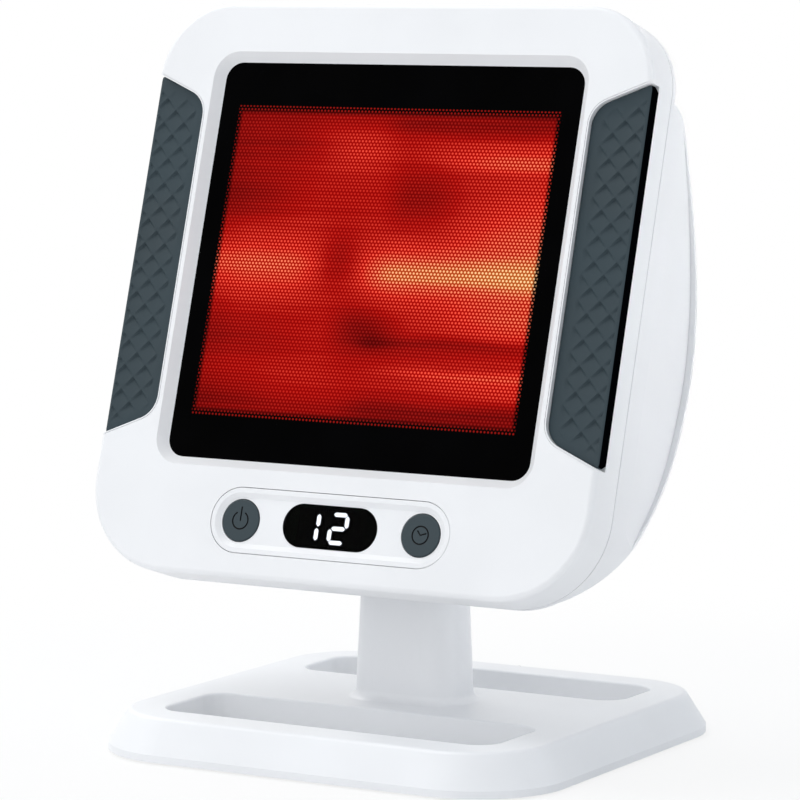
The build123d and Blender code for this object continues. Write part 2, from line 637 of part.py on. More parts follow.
with BuildPart() as front_cover:
    with BuildSketch(HEAD.offset(PARTING)):
        add(face_outline)
    extrude(amount=FACE_OUT - PARTING)
    fillet(front_cover.faces().sort_by(Axis(HEAD.origin, HEAD.z_dir))[-1].edges(), FACE_EDGE_R)
    with BuildSketch(HEAD.offset(PARTING)):
        add(face_inner)
    extrude(amount=-PARTING, mode=Mode.SUBTRACT)
    # pads behind the grips, which also take the screws of the glass clamp
    with BuildSketch(HEAD):
        for side in (1, -1):
            with Locations((side * (PAD_IN + HEAD_W / 2 - WALL + CUT_OVER / 4) / 2, 0)):
                Rectangle(HEAD_W / 2 - WALL + CUT_OVER / 4 - PAD_IN, 2 * PAD_HALF_H)
    extrude(amount=SEAL_BACK)
    # posts for the screws from the back of the head and for the control board
    with BuildSketch(HEAD):
        for x, up, seat in HEAD_SCREWS:
            with Locations((x, up)):
                Circle(HEAD_BOSS_DIA / 2)
    extrude(amount=HEAD_POST_FRONT + SEAT_GAP)
    with BuildSketch(HEAD):
        with Locations((BOARD_SCREW_X, PANEL_UP), (-BOARD_SCREW_X, PANEL_UP)):
            Circle(BOARD_BOSS_DIA / 2)
    extrude(amount=BOARD_OUT)
    # window
    with BuildSketch(HEAD):
        add(window_outline)
    extrude(amount=FACE_OUT, taper=WINDOW_TAPER, mode=Mode.SUBTRACT)
    # hole for the control panel
    with BuildSketch(HEAD):
        with Locations((0, PANEL_UP)):
            add(panel_hole)
    extrude(amount=FACE_OUT, mode=Mode.SUBTRACT)
    # seats of the grips
    with BuildSketch(HEAD.offset(GRIP_BACK - SEAT_GAP)):
        add(grip_hole)
    extrude(amount=FACE_OUT - GRIP_BACK + CUT_OVER, mode=Mode.SUBTRACT)
    with BuildSketch(HEAD.offset(FACE_OUT - GRIP_LINE_DEEP)):
        add(grip_line)
        add(grip_lip, mode=Mode.SUBTRACT)
    extrude(amount=GRIP_LINE_DEEP + CUT_OVER, mode=Mode.SUBTRACT)
    for side in (1, -1):
        with BuildSketch(SIDE.offset(side * (HEAD_W / 2 - GRIP_SIDE_T - SEAT_GAP))):
            with Locations((0, GRIP_SIDE_BACK - SEAT_GAP)):
                Rectangle(2 * GRIP_TIP + 2 * SEAT_GAP, GRIP_BACK - GRIP_SIDE_BACK + 2 * SEAT_GAP,
                          align=(Align.CENTER, Align.MIN))
        extrude(amount=side * (GRIP_SIDE_T + CUT_OVER), mode=Mode.SUBTRACT)
    # pilot holes
    with BuildSketch(HEAD.offset(HEAD_POST_FRONT + SEAT_GAP)):
        for x, up, seat in HEAD_SCREWS:
            with Locations((x, up)):
                Circle(SCREW_DIA / 2 + RUN_GAP)
    extrude(amount=HEAD_SCREW_GRIP + SEAT_GAP + SEAM_GAP, mode=Mode.SUBTRACT)
    with BuildSketch(HEAD.offset(BOARD_OUT)):
        with Locations((BOARD_SCREW_X, PANEL_UP), (-BOARD_SCREW_X, PANEL_UP)):
            Circle(SCREW_DIA / 2 + RUN_GAP)
    extrude(amount=BOARD_SCREW_L - BOARD_T + SEAM_GAP, mode=Mode.SUBTRACT)
    with BuildSketch(HEAD.offset(SEAL_BACK)):
        with Locations(*[(side * CLAMP_X, up) for side in (1, -1) for up in CLAMP_ROWS]):
            Circle(SCREW_DIA / 2 + RUN_GAP)
    extrude(amount=CLAMP_SCREW_L - SHEET - CLAMP_T + SEAT_GAP, mode=Mode.SUBTRACT)
front_cover.part.label = "front_cover"

scoop_profile = hump_profile(SCOOP_LIP)
SCOOP_RUN = HEAD_W / 2  # along the depth, well past the back
with BuildPart() as side_scoops:
    with BuildSketch(SIDE):
        add(scoop_profile)
        with Locations((HEAD_MID, SCOOP_START)):
            Rectangle(2 * HEAD_W, HEAD_W, align=(Align.CENTER, Align.MIN), mode=Mode.SUBTRACT)
    extrude(amount=HEAD_W, both=True)
    with BuildSketch(PLAN):
        for side in (1, -1):
            Polygon((side * HEAD_W / 2, SCOOP_START), (side * HEAD_W, SCOOP_START),
                    (side * HEAD_W, SCOOP_START - SCOOP_RUN),
                    (side * (HEAD_W / 2 - SCOOP_RUN * tan(radians(SCOOP_ANGLE))), SCOOP_START - SCOOP_RUN),
                    align=None)
    extrude(amount=HEAD_W, both=True, mode=Mode.INTERSECT)

# outer form of the head behind the face: thin slab with the hump on its back
with BuildPart() as head_form:
    add(hump_solid)
    back_face = head_form.faces().filter_by(GeomType.EXTRUSION)[0]
    back_rim = [e for e in back_face.edges() if abs(e.center().X) > HEAD_W / 4]
    fillet(back_rim, HUMP_EDGE_R)
    with BuildSketch(HEAD.offset(HEAD_POST_FRONT)):
        add(face_outline)
    extrude(amount=SLAB_BACK - HEAD_POST_FRONT)

with BuildPart() as channel_block:
    with BuildSketch(HEAD.offset(CHANNEL_FRONT + WALL)):
        with Locations((0, CHANNEL_TOP + WALL)):
            Rectangle(2 * (CHANNEL_HALF + WALL), HEAD_W, align=(Align.CENTER, Align.MAX))
    extrude(amount=-HEAD_W)
    add(head_form.part, mode=Mode.INTERSECT)

CHASSIS_BOSSES = [(side * CHASSIS_BOSS_X, up) for side in (1, -1) for up in CHASSIS_BOSS_ROWS]
with BuildPart() as shell_posts:
    for x, up, seat in HEAD_SCREWS:
        with BuildSketch(HEAD.offset(HEAD_POST_FRONT)):
            with Locations((x, up)):
                Circle(HEAD_POST_DIA / 2)
        extrude(amount=-HEAD_W)
    with BuildSketch(HEAD.offset(CHASSIS_BACK)):
        with Locations(*CHASSIS_BOSSES):
            Circle(HEAD_BOSS_DIA / 2)
    extrude(amount=-HEAD_W)
    add(head_form.part, mode=Mode.INTERSECT)

# ring gap that the wall of the front cover fits into is left between the two mouldings
with BuildPart() as rear_shell:
    add(head_form.part)
    with BuildSketch(HEAD.offset(SHELL_FRONT)):
        with Locations((0, HEAD_MID)):
            Rectangle(2 * HEAD_W, 2 * HEAD_W)
    extrude(amount=HEAD_W, mode=Mode.SUBTRACT)
    add(side_scoops.part, mode=Mode.SUBTRACT)
    add(hump_inner, mode=Mode.SUBTRACT)
    add(channel_block.part)
    add(shell_posts.part)
    # channel, open at the back and below, in which the neck stands
    with BuildSketch(HEAD.offset(CHANNEL_FRONT)):
        with Locations((0, CHANNEL_TOP)):
            Rectangle(2 * CHANNEL_HALF, HEAD_W, align=(Align.CENTER, Align.MAX))
    extrude(amount=-HEAD_W, mode=Mode.SUBTRACT)
    with BuildSketch(SIDE.offset(-CHEEK_IN)):
        with Locations((PIVOT_UP, PIVOT_OUT)):
            Circle(COLLAR_DIA / 2 + FIT_GAP)
    extrude(amount=2 * CHEEK_IN, mode=Mode.SUBTRACT)
    # air slots in the hump behind the fan, and intake slots at its foot
    with BuildSketch(HEAD.offset(SLAB_BACK + HUMP_BACK[0][1])):
        with Locations((0, FAN_UP)):
            with GridLocations(0, VENT_PITCH, 1, VENT_ROWS):
                SlotOverall(VENT_W, VENT_H)
    extrude(amount=-HEAD_W, mode=Mode.SUBTRACT)
    with BuildSketch(HEAD.offset(SHELL_FRONT)):
        with Locations((INTAKE_X, INTAKE_UP), (-INTAKE_X, INTAKE_UP)):
            with GridLocations(INTAKE_PITCH, 0, INTAKE_SLOTS, 1):
                SlotOverall(INTAKE_H, INTAKE_W, rotation=90)
    extrude(amount=-HEAD_W, mode=Mode.SUBTRACT)
    # screw holes
    for x, up, seat in HEAD_SCREWS:
        with BuildSketch(HEAD.offset(HEAD_POST_FRONT)):
            with Locations((x, up)):
                Circle(SCREW_DIA / 2 + FIT_GAP)
        extrude(amount=-HEAD_W, mode=Mode.SUBTRACT)
        with BuildSketch(HEAD.offset(seat)):
            with Locations((x, up)):
                Circle(SCREW_HEAD_DIA / 2 + FIT_GAP)
        extrude(amount=-HEAD_W, mode=Mode.SUBTRACT)
    with BuildSketch(HEAD.offset(CHASSIS_BACK)):
        with Locations(*CHASSIS_BOSSES):
            Circle(SCREW_DIA / 2 + RUN_GAP)
    extrude(amount=CHASSIS_T - CHASSIS_SCREW_L - SEAM_GAP, mode=Mode.SUBTRACT)
rear_shell.part.label = "rear_shell"

head_screw_set = [screw(head_plane(x, up, seat, -1), HEAD_POST_FRONT - seat + HEAD_SCREW_GRIP)
                  for x, up, seat in HEAD_SCREWS]
with BuildPart() as head_screws:
    for one in head_screw_set:
        add(one)
head_screws.part.label = "head_screws"

# ================================================================== grips
# the head's outline with the same rounded front edge, set back to the face of the grips
with BuildPart() as grip_envelope:
    with BuildSketch(HEAD.offset(GRIP_SIDE_BACK)):
        add(face_outline)
    extrude(amount=GRIP_FACE - GRIP_SIDE_BACK)
    fillet(grip_envelope.faces().sort_by(Axis(HEAD.origin, HEAD.z_dir))[-1].edges(), FACE_EDGE_R)

with BuildPart() as both_grips:
    with BuildSketch(HEAD.offset(GRIP_BACK)):
        add(grip_outline)
    extrude(amount=GRIP_T)
    # each grip turns the corner and runs a little way back along the side
    for side in (1, -1):
        with BuildSketch(SIDE.offset(side * HEAD_W / 2)):
            with Locations((0, GRIP_SIDE_BACK)):
                Rectangle(2 * GRIP_TIP, GRIP_BACK - GRIP_SIDE_BACK, align=(Align.CENTER, Align.MIN))
        extrude(amount=-side * GRIP_SIDE_T)
    add(grip_envelope.part, mode=Mode.INTERSECT)
with BuildPart() as right_grip:
    add(both_grips.part.solids().sort_by(Axis.X)[-1])
right_grip.part.label = "right_grip"
with BuildPart() as left_grip:
    add(both_grips.part.solids().sort_by(Axis.X)[0])
left_grip.part.label = "left_grip"

# ================================================================== window and lamp
with BuildPart() as glass_panel:
    with BuildSketch(HEAD):
        add(glass_outline)
    extrude(amount=-GLASS_T)
glass_panel.part.label = "glass_panel"

with BuildPart() as glass_seal:
    with BuildSketch(HEAD.offset(-GLASS_T)):
        add(glass_outline)
        offset(amount=-SEAL_W, mode=Mode.SUBTRACT)
    extrude(amount=-SEAL_T)
glass_seal.part.label = "glass_seal"

CLAMP_HOLES = [(side * CLAMP_X, up) for side in (1, -1) for up in CLAMP_ROWS]
with BuildPart() as glass_clamp:
    with BuildSketch(HEAD.offset(SEAL_BACK)):
        Rectangle(CLAMP_W, CLAMP_H)
        Rectangle(LIGHT_W, LIGHT_H, mode=Mode.SUBTRACT)
        with Locations(*CLAMP_HOLES):
            Circle(SCREW_DIA / 2 + FIT_GAP, mode=Mode.SUBTRACT)
    extrude(amount=-CLAMP_T)
glass_clamp.part.label = "glass_clamp"

# sheet box behind the window
with BuildPart() as lamp_housing:
    with BuildSketch(HEAD.offset(CLAMP_BACK)):
        Rectangle(CLAMP_W, CLAMP_H)
        with Locations(*CLAMP_HOLES):
            Circle(SCREW_DIA / 2 + FIT_GAP, mode=Mode.SUBTRACT)
    extrude(amount=-SHEET)
    with BuildSketch(HEAD.offset(CLAMP_BACK)):
        Rectangle(BOX_W, BOX_H)
    extrude(amount=BOX_BACK - CLAMP_BACK)
    with BuildSketch(HEAD.offset(CLAMP_BACK)):
        Rectangle(BOX_W - 2 * SHEET, BOX_H - 2 * SHEET)
    extrude(amount=BOX_BACK + SHEET - CLAMP_BACK, mode=Mode.SUBTRACT)
lamp_housing.part.label = "lamp_housing"

clamp_screw_set = [screw(head_plane(x, up, FLANGE_BACK, -1), CLAMP_SCREW_L) for x, up in CLAMP_HOLES]
with BuildPart() as clamp_screws:
    for one in clamp_screw_set:
        add(one)
clamp_screws.part.label = "clamp_screws"

REFLECTOR_HALF = BOX_H / 2 - SHEET - SEAM_GAP
REFLECTOR_DEEP = BOX_BACK + SHEET + SEAT_GAP + SHEET
REFLECTOR_HALF_W = BOX_W / 2 - SHEET - FIT_GAP
with BuildPart() as reflector:
    with BuildSketch(SIDE.offset(-REFLECTOR_HALF_W)):
        with BuildLine():
            front_arc = ThreePointArc((REFLECTOR_HALF, REFLECTOR_EDGE), (0, REFLECTOR_DEEP),
                                      (-REFLECTOR_HALF, REFLECTOR_EDGE))
            Line(front_arc @ 1, (-REFLECTOR_HALF, REFLECTOR_EDGE - SHEET))
            ThreePointArc((-REFLECTOR_HALF, REFLECTOR_EDGE - SHEET), (0, REFLECTOR_DEEP - SHEET),
                          (REFLECTOR_HALF, REFLECTOR_EDGE - SHEET))
            Line((REFLECTOR_HALF, REFLECTOR_EDGE - SHEET), front_arc @ 0)
        make_face()
    extrude(amount=2 * REFLECTOR_HALF_W)
reflector.part.label = "reflector"

TUBE_AT = (TUBE_UP, TUBE_OUT)
with BuildPart() as quartz_tube:
    with BuildSketch(SIDE.offset(-TUBE_HALF)):
        with Locations(TUBE_AT):
            Circle(TUBE_DIA / 2)
            Circle(TUBE_DIA / 2 - TUBE_WALL, mode=Mode.SUBTRACT)
    extrude(amount=2 * TUBE_HALF)
quartz_tube.part.label = "quartz_tube"

with BuildPart() as filament:
    with BuildSketch(SIDE.offset(-TUBE_HALF)):
        with Locations(TUBE_AT):
            Circle(FILAMENT_DIA / 2)
    extrude(amount=2 * TUBE_HALF)
filament.part.label = "filament"

CAP_START = TUBE_HALF - CAP_LAP
CAP_END = CAP_START + CAP_L
with BuildPart() as tube_caps:
    for side in (1, -1):
        with BuildSketch(SIDE.offset(side * CAP_START)):
            with Locations(TUBE_AT):
                Circle(CAP_DIA / 2)
        extrude(amount=side * CAP_L)
        with BuildSketch(SIDE.offset(side * CAP_START)):
            with Locations(TUBE_AT):
                Circle(TUBE_DIA / 2)
        extrude(amount=side * CAP_LAP, mode=Mode.SUBTRACT)
tube_caps.part.label = "tube_caps"

SOCKET_END = BOX_W / 2 - SHEET
with BuildPart() as tube_sockets:
    for side in (1, -1):
        with BuildSketch(SIDE.offset(side * (CAP_END - SOCKET_LAP))):
            with Locations(TUBE_AT):
                Rectangle(SOCKET_SIZE, SOCKET_SIZE)
        extrude(amount=side * (SOCKET_END - CAP_END + SOCKET_LAP))
        with BuildSketch(SIDE.offset(side * (CAP_END - SOCKET_LAP))):
            with Locations(TUBE_AT):
                Circle(CAP_DIA / 2 + SEAT_GAP / 2)
        extrude(amount=side * SOCKET_LAP, mode=Mode.SUBTRACT)
tube_sockets.part.label = "tube_sockets"

CUTOUT_PLANE = Plane(origin=HEAD.from_local_coords((CUTOUT_X, -BOX_H / 2, CUTOUT_OUT)),
                     x_dir=(1, 0, 0), z_dir=-HEAD.y_dir)
with BuildPart() as thermal_cutout:
    with BuildSketch(CUTOUT_PLANE):
        Circle(CUTOUT_DIA / 2)
    extrude(amount=CUTOUT_T)
thermal_cutout.part.label = "thermal_cutout"

# ================================================================== chassis and hinge
FAN_AT = (0, FAN_UP)
with BuildPart() as chassis_plate:
    with BuildSketch(HEAD.offset(BOX_BACK)):
        with Locations((0, (CHASSIS_TOP + CHASSIS_BOTTOM) / 2)):
            Rectangle(CHASSIS_W, CHASSIS_TOP - CHASSIS_BOTTOM)
        with Locations(FAN_AT):
            Circle(FAN_BORE / 2 + FIT_GAP, mode=Mode.SUBTRACT)
            with GridLocations(2 * FAN_HOLE, 2 * FAN_HOLE, 2, 2):
                Circle(SCREW_DIA / 2 + RUN_GAP, mode=Mode.SUBTRACT)
        with Locations(*CHASSIS_BOSSES):
            Circle(SCREW_DIA / 2 + FIT_GAP, mode=Mode.SUBTRACT)
    extrude(amount=-CHASSIS_T)
chassis_plate.part.label = "chassis_plate"

chassis_screw_set = [screw(head_plane(x, up, BOX_BACK, 1), CHASSIS_SCREW_L) for x, up in CHASSIS_BOSSES]
with BuildPart() as chassis_screws:
    for one in chassis_screw_set:
        add(one)
chassis_screws.part.label = "chassis_screws"

with BuildPart() as hinge_bracket:
    with BuildSketch(HEAD.offset(CHASSIS_BACK)):
        with Locations((0, (BRACKET_TOP + BRACKET_BOTTOM) / 2)):
            Rectangle(2 * CHEEK_OUT, BRACKET_TOP - BRACKET_BOTTOM)
    extrude(amount=-BRACKET_T)
    for side in (1, -1):
        with BuildSketch(SIDE.offset(side * CHEEK_IN)):
            with BuildLine():
                Polyline((BRACKET_TOP, CHASSIS_BACK), (BRACKET_TOP, WEB_BACK - BRACKET_T),
                         (PIVOT_UP + BRACKET_EYE_R, PIVOT_OUT))
                ThreePointArc((PIVOT_UP + BRACKET_EYE_R, PIVOT_OUT), (PIVOT_UP, PIVOT_OUT - BRACKET_EYE_R),
                              (PIVOT_UP - BRACKET_EYE_R, PIVOT_OUT))
                Polyline((PIVOT_UP - BRACKET_EYE_R, PIVOT_OUT), (BRACKET_BOTTOM, WEB_BACK - BRACKET_T),
                         (BRACKET_BOTTOM, CHASSIS_BACK), (BRACKET_TOP, CHASSIS_BACK))
            make_face()
            with Locations((PIVOT_UP, PIVOT_OUT)):
                Circle(PIN_DIA / 2, mode=Mode.SUBTRACT)
        extrude(amount=side * BRACKET_T)
hinge_bracket.part.label = "hinge_bracket"

PIVOT_AT = (NECK_Y, PIVOT_Z)
SPRING_STACK = SPRING_RISE + SPRING_T
PIN_END = CHEEK_OUT + 2 * SPRING_STACK + NUT_T + 1.5
with BuildPart() as hinge_pin:
    with BuildSketch(Plane.YZ.offset(CHEEK_OUT)):
        with Locations(PIVOT_AT):
            Circle(PIN_HEAD_DIA / 2)
    extrude(amount=PIN_HEAD_T)
    with BuildSketch(Plane.YZ.offset(CHEEK_OUT)):
        with Locations(PIVOT_AT):
            Circle(PIN_DIA / 2)
    extrude(amount=-CHEEK_OUT - PIN_END)
    chamfer(hinge_pin.faces().sort_by(Axis.X)[0].edges(), 0.5)
    fillet(hinge_pin.faces().sort_by(Axis.X)[-1].edges(), 0.8)
hinge_pin.part.label = "hinge_pin"

# collars that bridge from the neck to the bracket through the walls of the channel
with BuildPart() as friction_collars:
    for side in (1, -1):
        with BuildSketch(Plane.YZ.offset(side * (BUSH_END + RUN_GAP))):
            with Locations(PIVOT_AT):
                Circle(COLLAR_DIA / 2)
                Circle(PIN_DIA / 2 + RUN_GAP, mode=Mode.SUBTRACT)
        extrude(amount=side * (CHEEK_IN - BUSH_END - RUN_GAP))
friction_collars.part.label = "friction_collars"

# two dished springs, crest to crest, under the nut
PIN_SECTION = Plane(origin=(0, NECK_Y, PIVOT_Z), x_dir=(1, 0, 0), z_dir=(0, -1, 0))
PIN_AXIS = Axis((0, NECK_Y, PIVOT_Z), (1, 0, 0))
SPRING_IN = PIN_DIA / 2 + SEAT_GAP
SPRING_OUT = SPRING_DIA / 2
SPRING_MID = -CHEEK_OUT - SPRING_STACK
with BuildPart() as disc_springs:
    with BuildSketch(PIN_SECTION):
        Polygon((SPRING_MID, SPRING_IN), (SPRING_MID + SPRING_T, SPRING_IN),
                (SPRING_MID + SPRING_STACK, SPRING_OUT), (SPRING_MID + SPRING_RISE, SPRING_OUT), align=None)
        Polygon((SPRING_MID, SPRING_IN), (SPRING_MID - SPRING_T, SPRING_IN),
                (SPRING_MID - SPRING_STACK, SPRING_OUT), (SPRING_MID - SPRING_RISE, SPRING_OUT), align=None)
    revolve(axis=PIN_AXIS)
disc_springs.part.label = "disc_springs"

with BuildPart() as hinge_nut:
    with BuildSketch(Plane.YZ.offset(-CHEEK_OUT - 2 * SPRING_STACK)):
        with Locations(PIVOT_AT):
            RegularPolygon(NUT_FLATS / 2, 6, major_radius=False)
            Circle(PIN_DIA / 2, mode=Mode.SUBTRACT)
    extrude(amount=-NUT_T)
hinge_nut.part.label = "hinge_nut"

# ================================================================== fan
FAN_FRONT = CHASSIS_BACK
FAN_BACK = FAN_FRONT - FAN_T
SPOKE_T = 1.5
SPOKE_W = 2.5
HUB_FRONT = FAN_FRONT - 1.5
HUB_BACK = FAN_BACK + SPOKE_T + FIT_GAP
HUB_T = 1.5
fan_corners = rounded(FAN_SIZE, FAN_SIZE, 3.0)
with BuildPart() as fan_frame:
    with BuildSketch(HEAD.offset(FAN_FRONT)):
        with Locations(FAN_AT):
            add(fan_corners)
            Circle(FAN_BORE / 2, mode=Mode.SUBTRACT)
            with GridLocations(2 * FAN_HOLE, 2 * FAN_HOLE, 2, 2):
                Circle(SCREW_DIA / 2 + FIT_GAP, mode=Mode.SUBTRACT)
    extrude(amount=-FAN_T)
    with BuildSketch(HEAD.offset(FAN_BACK)):
        with Locations(FAN_AT):
            Circle(FAN_HUB_DIA / 2 - HUB_T)
            Rectangle(FAN_BORE + 1, SPOKE_W, rotation=30)
            Rectangle(FAN_BORE + 1, SPOKE_W, rotation=120)
    extrude(amount=SPOKE_T)
    with BuildSketch(HEAD.offset(FAN_BACK)):
        with Locations(FAN_AT):
            Circle(FAN_AXLE_DIA / 2)
    extrude(amount=HUB_FRONT - FAN_BACK)
fan_frame.part.label = "fan_frame"

BLADE_IN = FAN_HUB_DIA / 2 - HUB_T / 2
BLADE_OUT = FAN_BORE / 2 - FIT_GAP
BLADE_CHORD = (HUB_FRONT - HUB_BACK - FAN_BLADE_T) / sin(radians(FAN_BLADE_PITCH)) * 0.92
FAN_CENTRE = head_plane(0, FAN_UP, (HUB_FRONT + HUB_BACK) / 2, 1)
blade_planes = []
for k in range(FAN_BLADES):
    radial = HEAD.x_dir.rotate(Axis((0, 0, 0), HEAD.z_dir), 360.0 * k / FAN_BLADES)
    facing = HEAD.z_dir.rotate(Axis((0, 0, 0), radial), FAN_BLADE_PITCH)
    blade_planes.append(Plane(origin=FAN_CENTRE.origin, x_dir=radial, z_dir=facing))
with BuildPart() as fan_rotor:
    for blade_plane in blade_planes:
        with BuildSketch(blade_plane):
            with Locations(((BLADE_IN + BLADE_OUT) / 2, 0)):
                Rectangle(BLADE_OUT - BLADE_IN, BLADE_CHORD)
        extrude(amount=FAN_BLADE_T / 2, both=True)
    with BuildSketch(FAN_CENTRE):
        Circle(BLADE_OUT)
    extrude(amount=FAN_T, both=True, mode=Mode.INTERSECT)
    with BuildSketch(HEAD.offset(HUB_FRONT)):
        with Locations(FAN_AT):
            Circle(FAN_HUB_DIA / 2)
    extrude(amount=HUB_BACK - HUB_FRONT)
    with BuildSketch(HEAD.offset(HUB_BACK)):
        with Locations(FAN_AT):
            Circle(FAN_HUB_DIA / 2 - HUB_T)
            Circle(FAN_AXLE_DIA, mode=Mode.SUBTRACT)
    extrude(amount=HUB_FRONT - HUB_BACK - HUB_T, mode=Mode.SUBTRACT)
    with BuildSketch(HEAD.offset(HUB_BACK)):
        with Locations(FAN_AT):
            Circle(FAN_AXLE_DIA / 2 + RUN_GAP)
    extrude(amount=HUB_FRONT - HUB_BACK, mode=Mode.SUBTRACT)
fan_rotor.part.label = "fan_rotor"

FAN_SCREW_L = FAN_T + CHASSIS_T - FIT_GAP
FAN_CORNERS = [(sx * FAN_HOLE, FAN_UP + sy * FAN_HOLE) for sx in (1, -1) for sy in (1, -1)]
fan_screw_set = [screw(head_plane(x, up, FAN_BACK, -1), FAN_SCREW_L) for x, up in FAN_CORNERS]
with BuildPart() as fan_screws:
    for one in fan_screw_set:
        add(one)
fan_screws.part.label = "fan_screws"

# ================================================================== mains board
MAINS_FRONT = CHASSIS_BACK - STANDOFF_H
MAINS_BACK = MAINS_FRONT - BOARD_T
HOLE_IN = STANDOFF_DIA / 2 + 1.0
MAINS_HOLES = [(MAINS_X + sx * (MAINS_W / 2 - HOLE_IN), MAINS_UP + sy * (MAINS_H / 2 - HOLE_IN))
               for sx in (1, -1) for sy in (1, -1)]
with BuildPart() as board_standoffs:
    with BuildSketch(HEAD.offset(CHASSIS_BACK)):
        with Locations(*MAINS_HOLES):
            Circle(STANDOFF_DIA / 2)
            Circle(SCREW_DIA / 2 + SEAT_GAP, mode=Mode.SUBTRACT)
    extrude(amount=-STANDOFF_H)
board_standoffs.part.label = "board_standoffs"

with BuildPart() as mains_board:
    with BuildSketch(HEAD.offset(MAINS_FRONT)):
        with Locations((MAINS_X, MAINS_UP)):
            Rectangle(MAINS_W, MAINS_H)
        with Locations(*MAINS_HOLES):
            Circle(SCREW_DIA / 2 + SEAT_GAP, mode=Mode.SUBTRACT)
    extrude(amount=-BOARD_T)
mains_board.part.label = "mains_board"

mains_screw_set = [screw(head_plane(x, up, MAINS_BACK, -1), BOARD_T + STANDOFF_H) for x, up in MAINS_HOLES]
with BuildPart() as board_screws:
    for one in mains_screw_set:
        add(one)
board_screws.part.label = "board_screws"

with BuildPart() as mains_parts:
    for (x, up), (w, h), tall in ((TRANSFORMER_AT, TRANSFORMER_SIZE, TRANSFORMER_H),
                                  (RELAY_AT, RELAY_SIZE, RELAY_H), (FUSE_AT, FUSE_SIZE, FUSE_H)):
        with BuildSketch(HEAD.offset(MAINS_BACK)):
            with Locations((MAINS_X + x, MAINS_UP + up)):
                Rectangle(w, h)
        extrude(amount=-tall)
    with BuildSketch(HEAD.offset(MAINS_BACK)):
        with Locations((MAINS_X + CAPACITOR_AT[0], MAINS_UP + CAPACITOR_AT[1])):
            Circle(CAPACITOR_DIA / 2)
    extrude(amount=-CAPACITOR_H)
mains_parts.part.label = "mains_parts"

# ================================================================== controls
panel_outline = stadium(PANEL_W, PANEL_H)
panel_flange = stadium(PANEL_W + 2 * PANEL_FLANGE, PANEL_H + 2 * PANEL_FLANGE)
DISH_IN = PANEL_RIM + DISH_RUN
DISH_SLOPE = degrees(atan2(DISH_RUN, PANEL_DISH))
dish_outline = stadium(PANEL_W - 2 * DISH_IN, PANEL_H - 2 * DISH_IN)
panel_hollow = stadium(PANEL_W - 2 * PANEL_WALL, PANEL_H - 2 * PANEL_WALL)
lens_outline = stadium(DISPLAY_W, DISPLAY_H)
lens_hole = stadium(DISPLAY_W + 2 * SEAT_GAP, DISPLAY_H + 2 * SEAT_GAP)
lens_flange = stadium(DISPLAY_W + 2 * LENS_FLANGE, DISPLAY_H + 2 * LENS_FLANGE)
PANEL_AT = (0, PANEL_UP)
BUTTONS_AT = [(BUTTON_X, PANEL_UP), (-BUTTON_X, PANEL_UP)]
with BuildPart() as control_panel:
    with BuildSketch(HEAD.offset(FACE_OUT)):
        with Locations(PANEL_AT):
            add(panel_outline)
    extrude(amount=-FACE_OUT)
    fillet(control_panel.faces().sort_by(Axis(HEAD.origin, HEAD.z_dir))[-1].edges(), PANEL_EDGE_R)
    with BuildSketch(HEAD):
        with Locations(PANEL_AT):
            add(panel_flange)
    extrude(amount=-PANEL_FLANGE_T)
    with BuildSketch(HEAD.offset(DISH_FLOOR)):
        with Locations(PANEL_AT):
            add(dish_outline)
    extrude(amount=PANEL_DISH, taper=-DISH_SLOPE, mode=Mode.SUBTRACT)
    with BuildSketch(HEAD.offset(FLOOR_BACK)):
        with Locations(PANEL_AT):
            add(panel_hollow)
    extrude(amount=-FLOOR_BACK - PANEL_FLANGE_T, mode=Mode.SUBTRACT)
    with BuildSketch(HEAD.offset(DISH_FLOOR)):
        with Locations(PANEL_AT):
            add(lens_hole)
        with Locations(*BUTTONS_AT):
            Circle(BUTTON_DIA / 2 + BUTTON_GAP)
    extrude(amount=-PANEL_FLOOR_T, mode=Mode.SUBTRACT)
control_panel.part.label = "control_panel"

with BuildPart() as display_window:
    with BuildSketch(HEAD.offset(LENS_FRONT)):
        with Locations(PANEL_AT):
            add(lens_outline)
    extrude(amount=FLOOR_BACK - LENS_FRONT)
    with BuildSketch(HEAD.offset(FLOOR_BACK)):
        with Locations(PANEL_AT):
            add(lens_flange)
    extrude(amount=-LENS_FLANGE_T)
    with BuildSketch(HEAD.offset(LENS_FRONT - LENS_T)):
        with Locations(PANEL_AT):
            Rectangle(MODULE_W + 2 * FIT_GAP, MODULE_H + 2 * FIT_GAP)
    extrude(amount=-LENS_FRONT + LENS_T + FLOOR_BACK - LENS_FLANGE_T, mode=Mode.SUBTRACT)
display_window.part.label = "display_window"

with BuildPart() as display_module:
    with BuildSketch(HEAD.offset(MODULE_FRONT)):
        with Locations(PANEL_AT):
            Rectangle(MODULE_W, MODULE_H)
    extrude(amount=BOARD_OUT - MODULE_FRONT)
display_module.part.label = "display_module"

digit_strokes = digits()
with BuildPart() as display_segments:
    with BuildSketch(HEAD.offset(MODULE_FRONT)):
        with Locations(PANEL_AT):
            add(digit_strokes)
    extrude(amount=DIGIT_T)
display_segments.part.label = "display_segments"

BOARD_HOLES = [(BOARD_SCREW_X, PANEL_UP), (-BOARD_SCREW_X, PANEL_UP)]
with BuildPart() as control_board:
    with BuildSketch(HEAD.offset(BOARD_OUT)):
        with Locations(PANEL_AT):
            Rectangle(BOARD_W, BOARD_H)
        with Locations(*BOARD_HOLES):
            Circle(SCREW_DIA / 2 + SEAT_GAP, mode=Mode.SUBTRACT)
    extrude(amount=-BOARD_T)
control_board.part.label = "control_board"

control_screw_set = [screw(head_plane(x, up, BOARD_BACK, -1), BOARD_SCREW_L) for x, up in BOARD_HOLES]
with BuildPart() as control_screws:
    for one in control_screw_set:
        add(one)
control_screws.part.label = "control_screws"

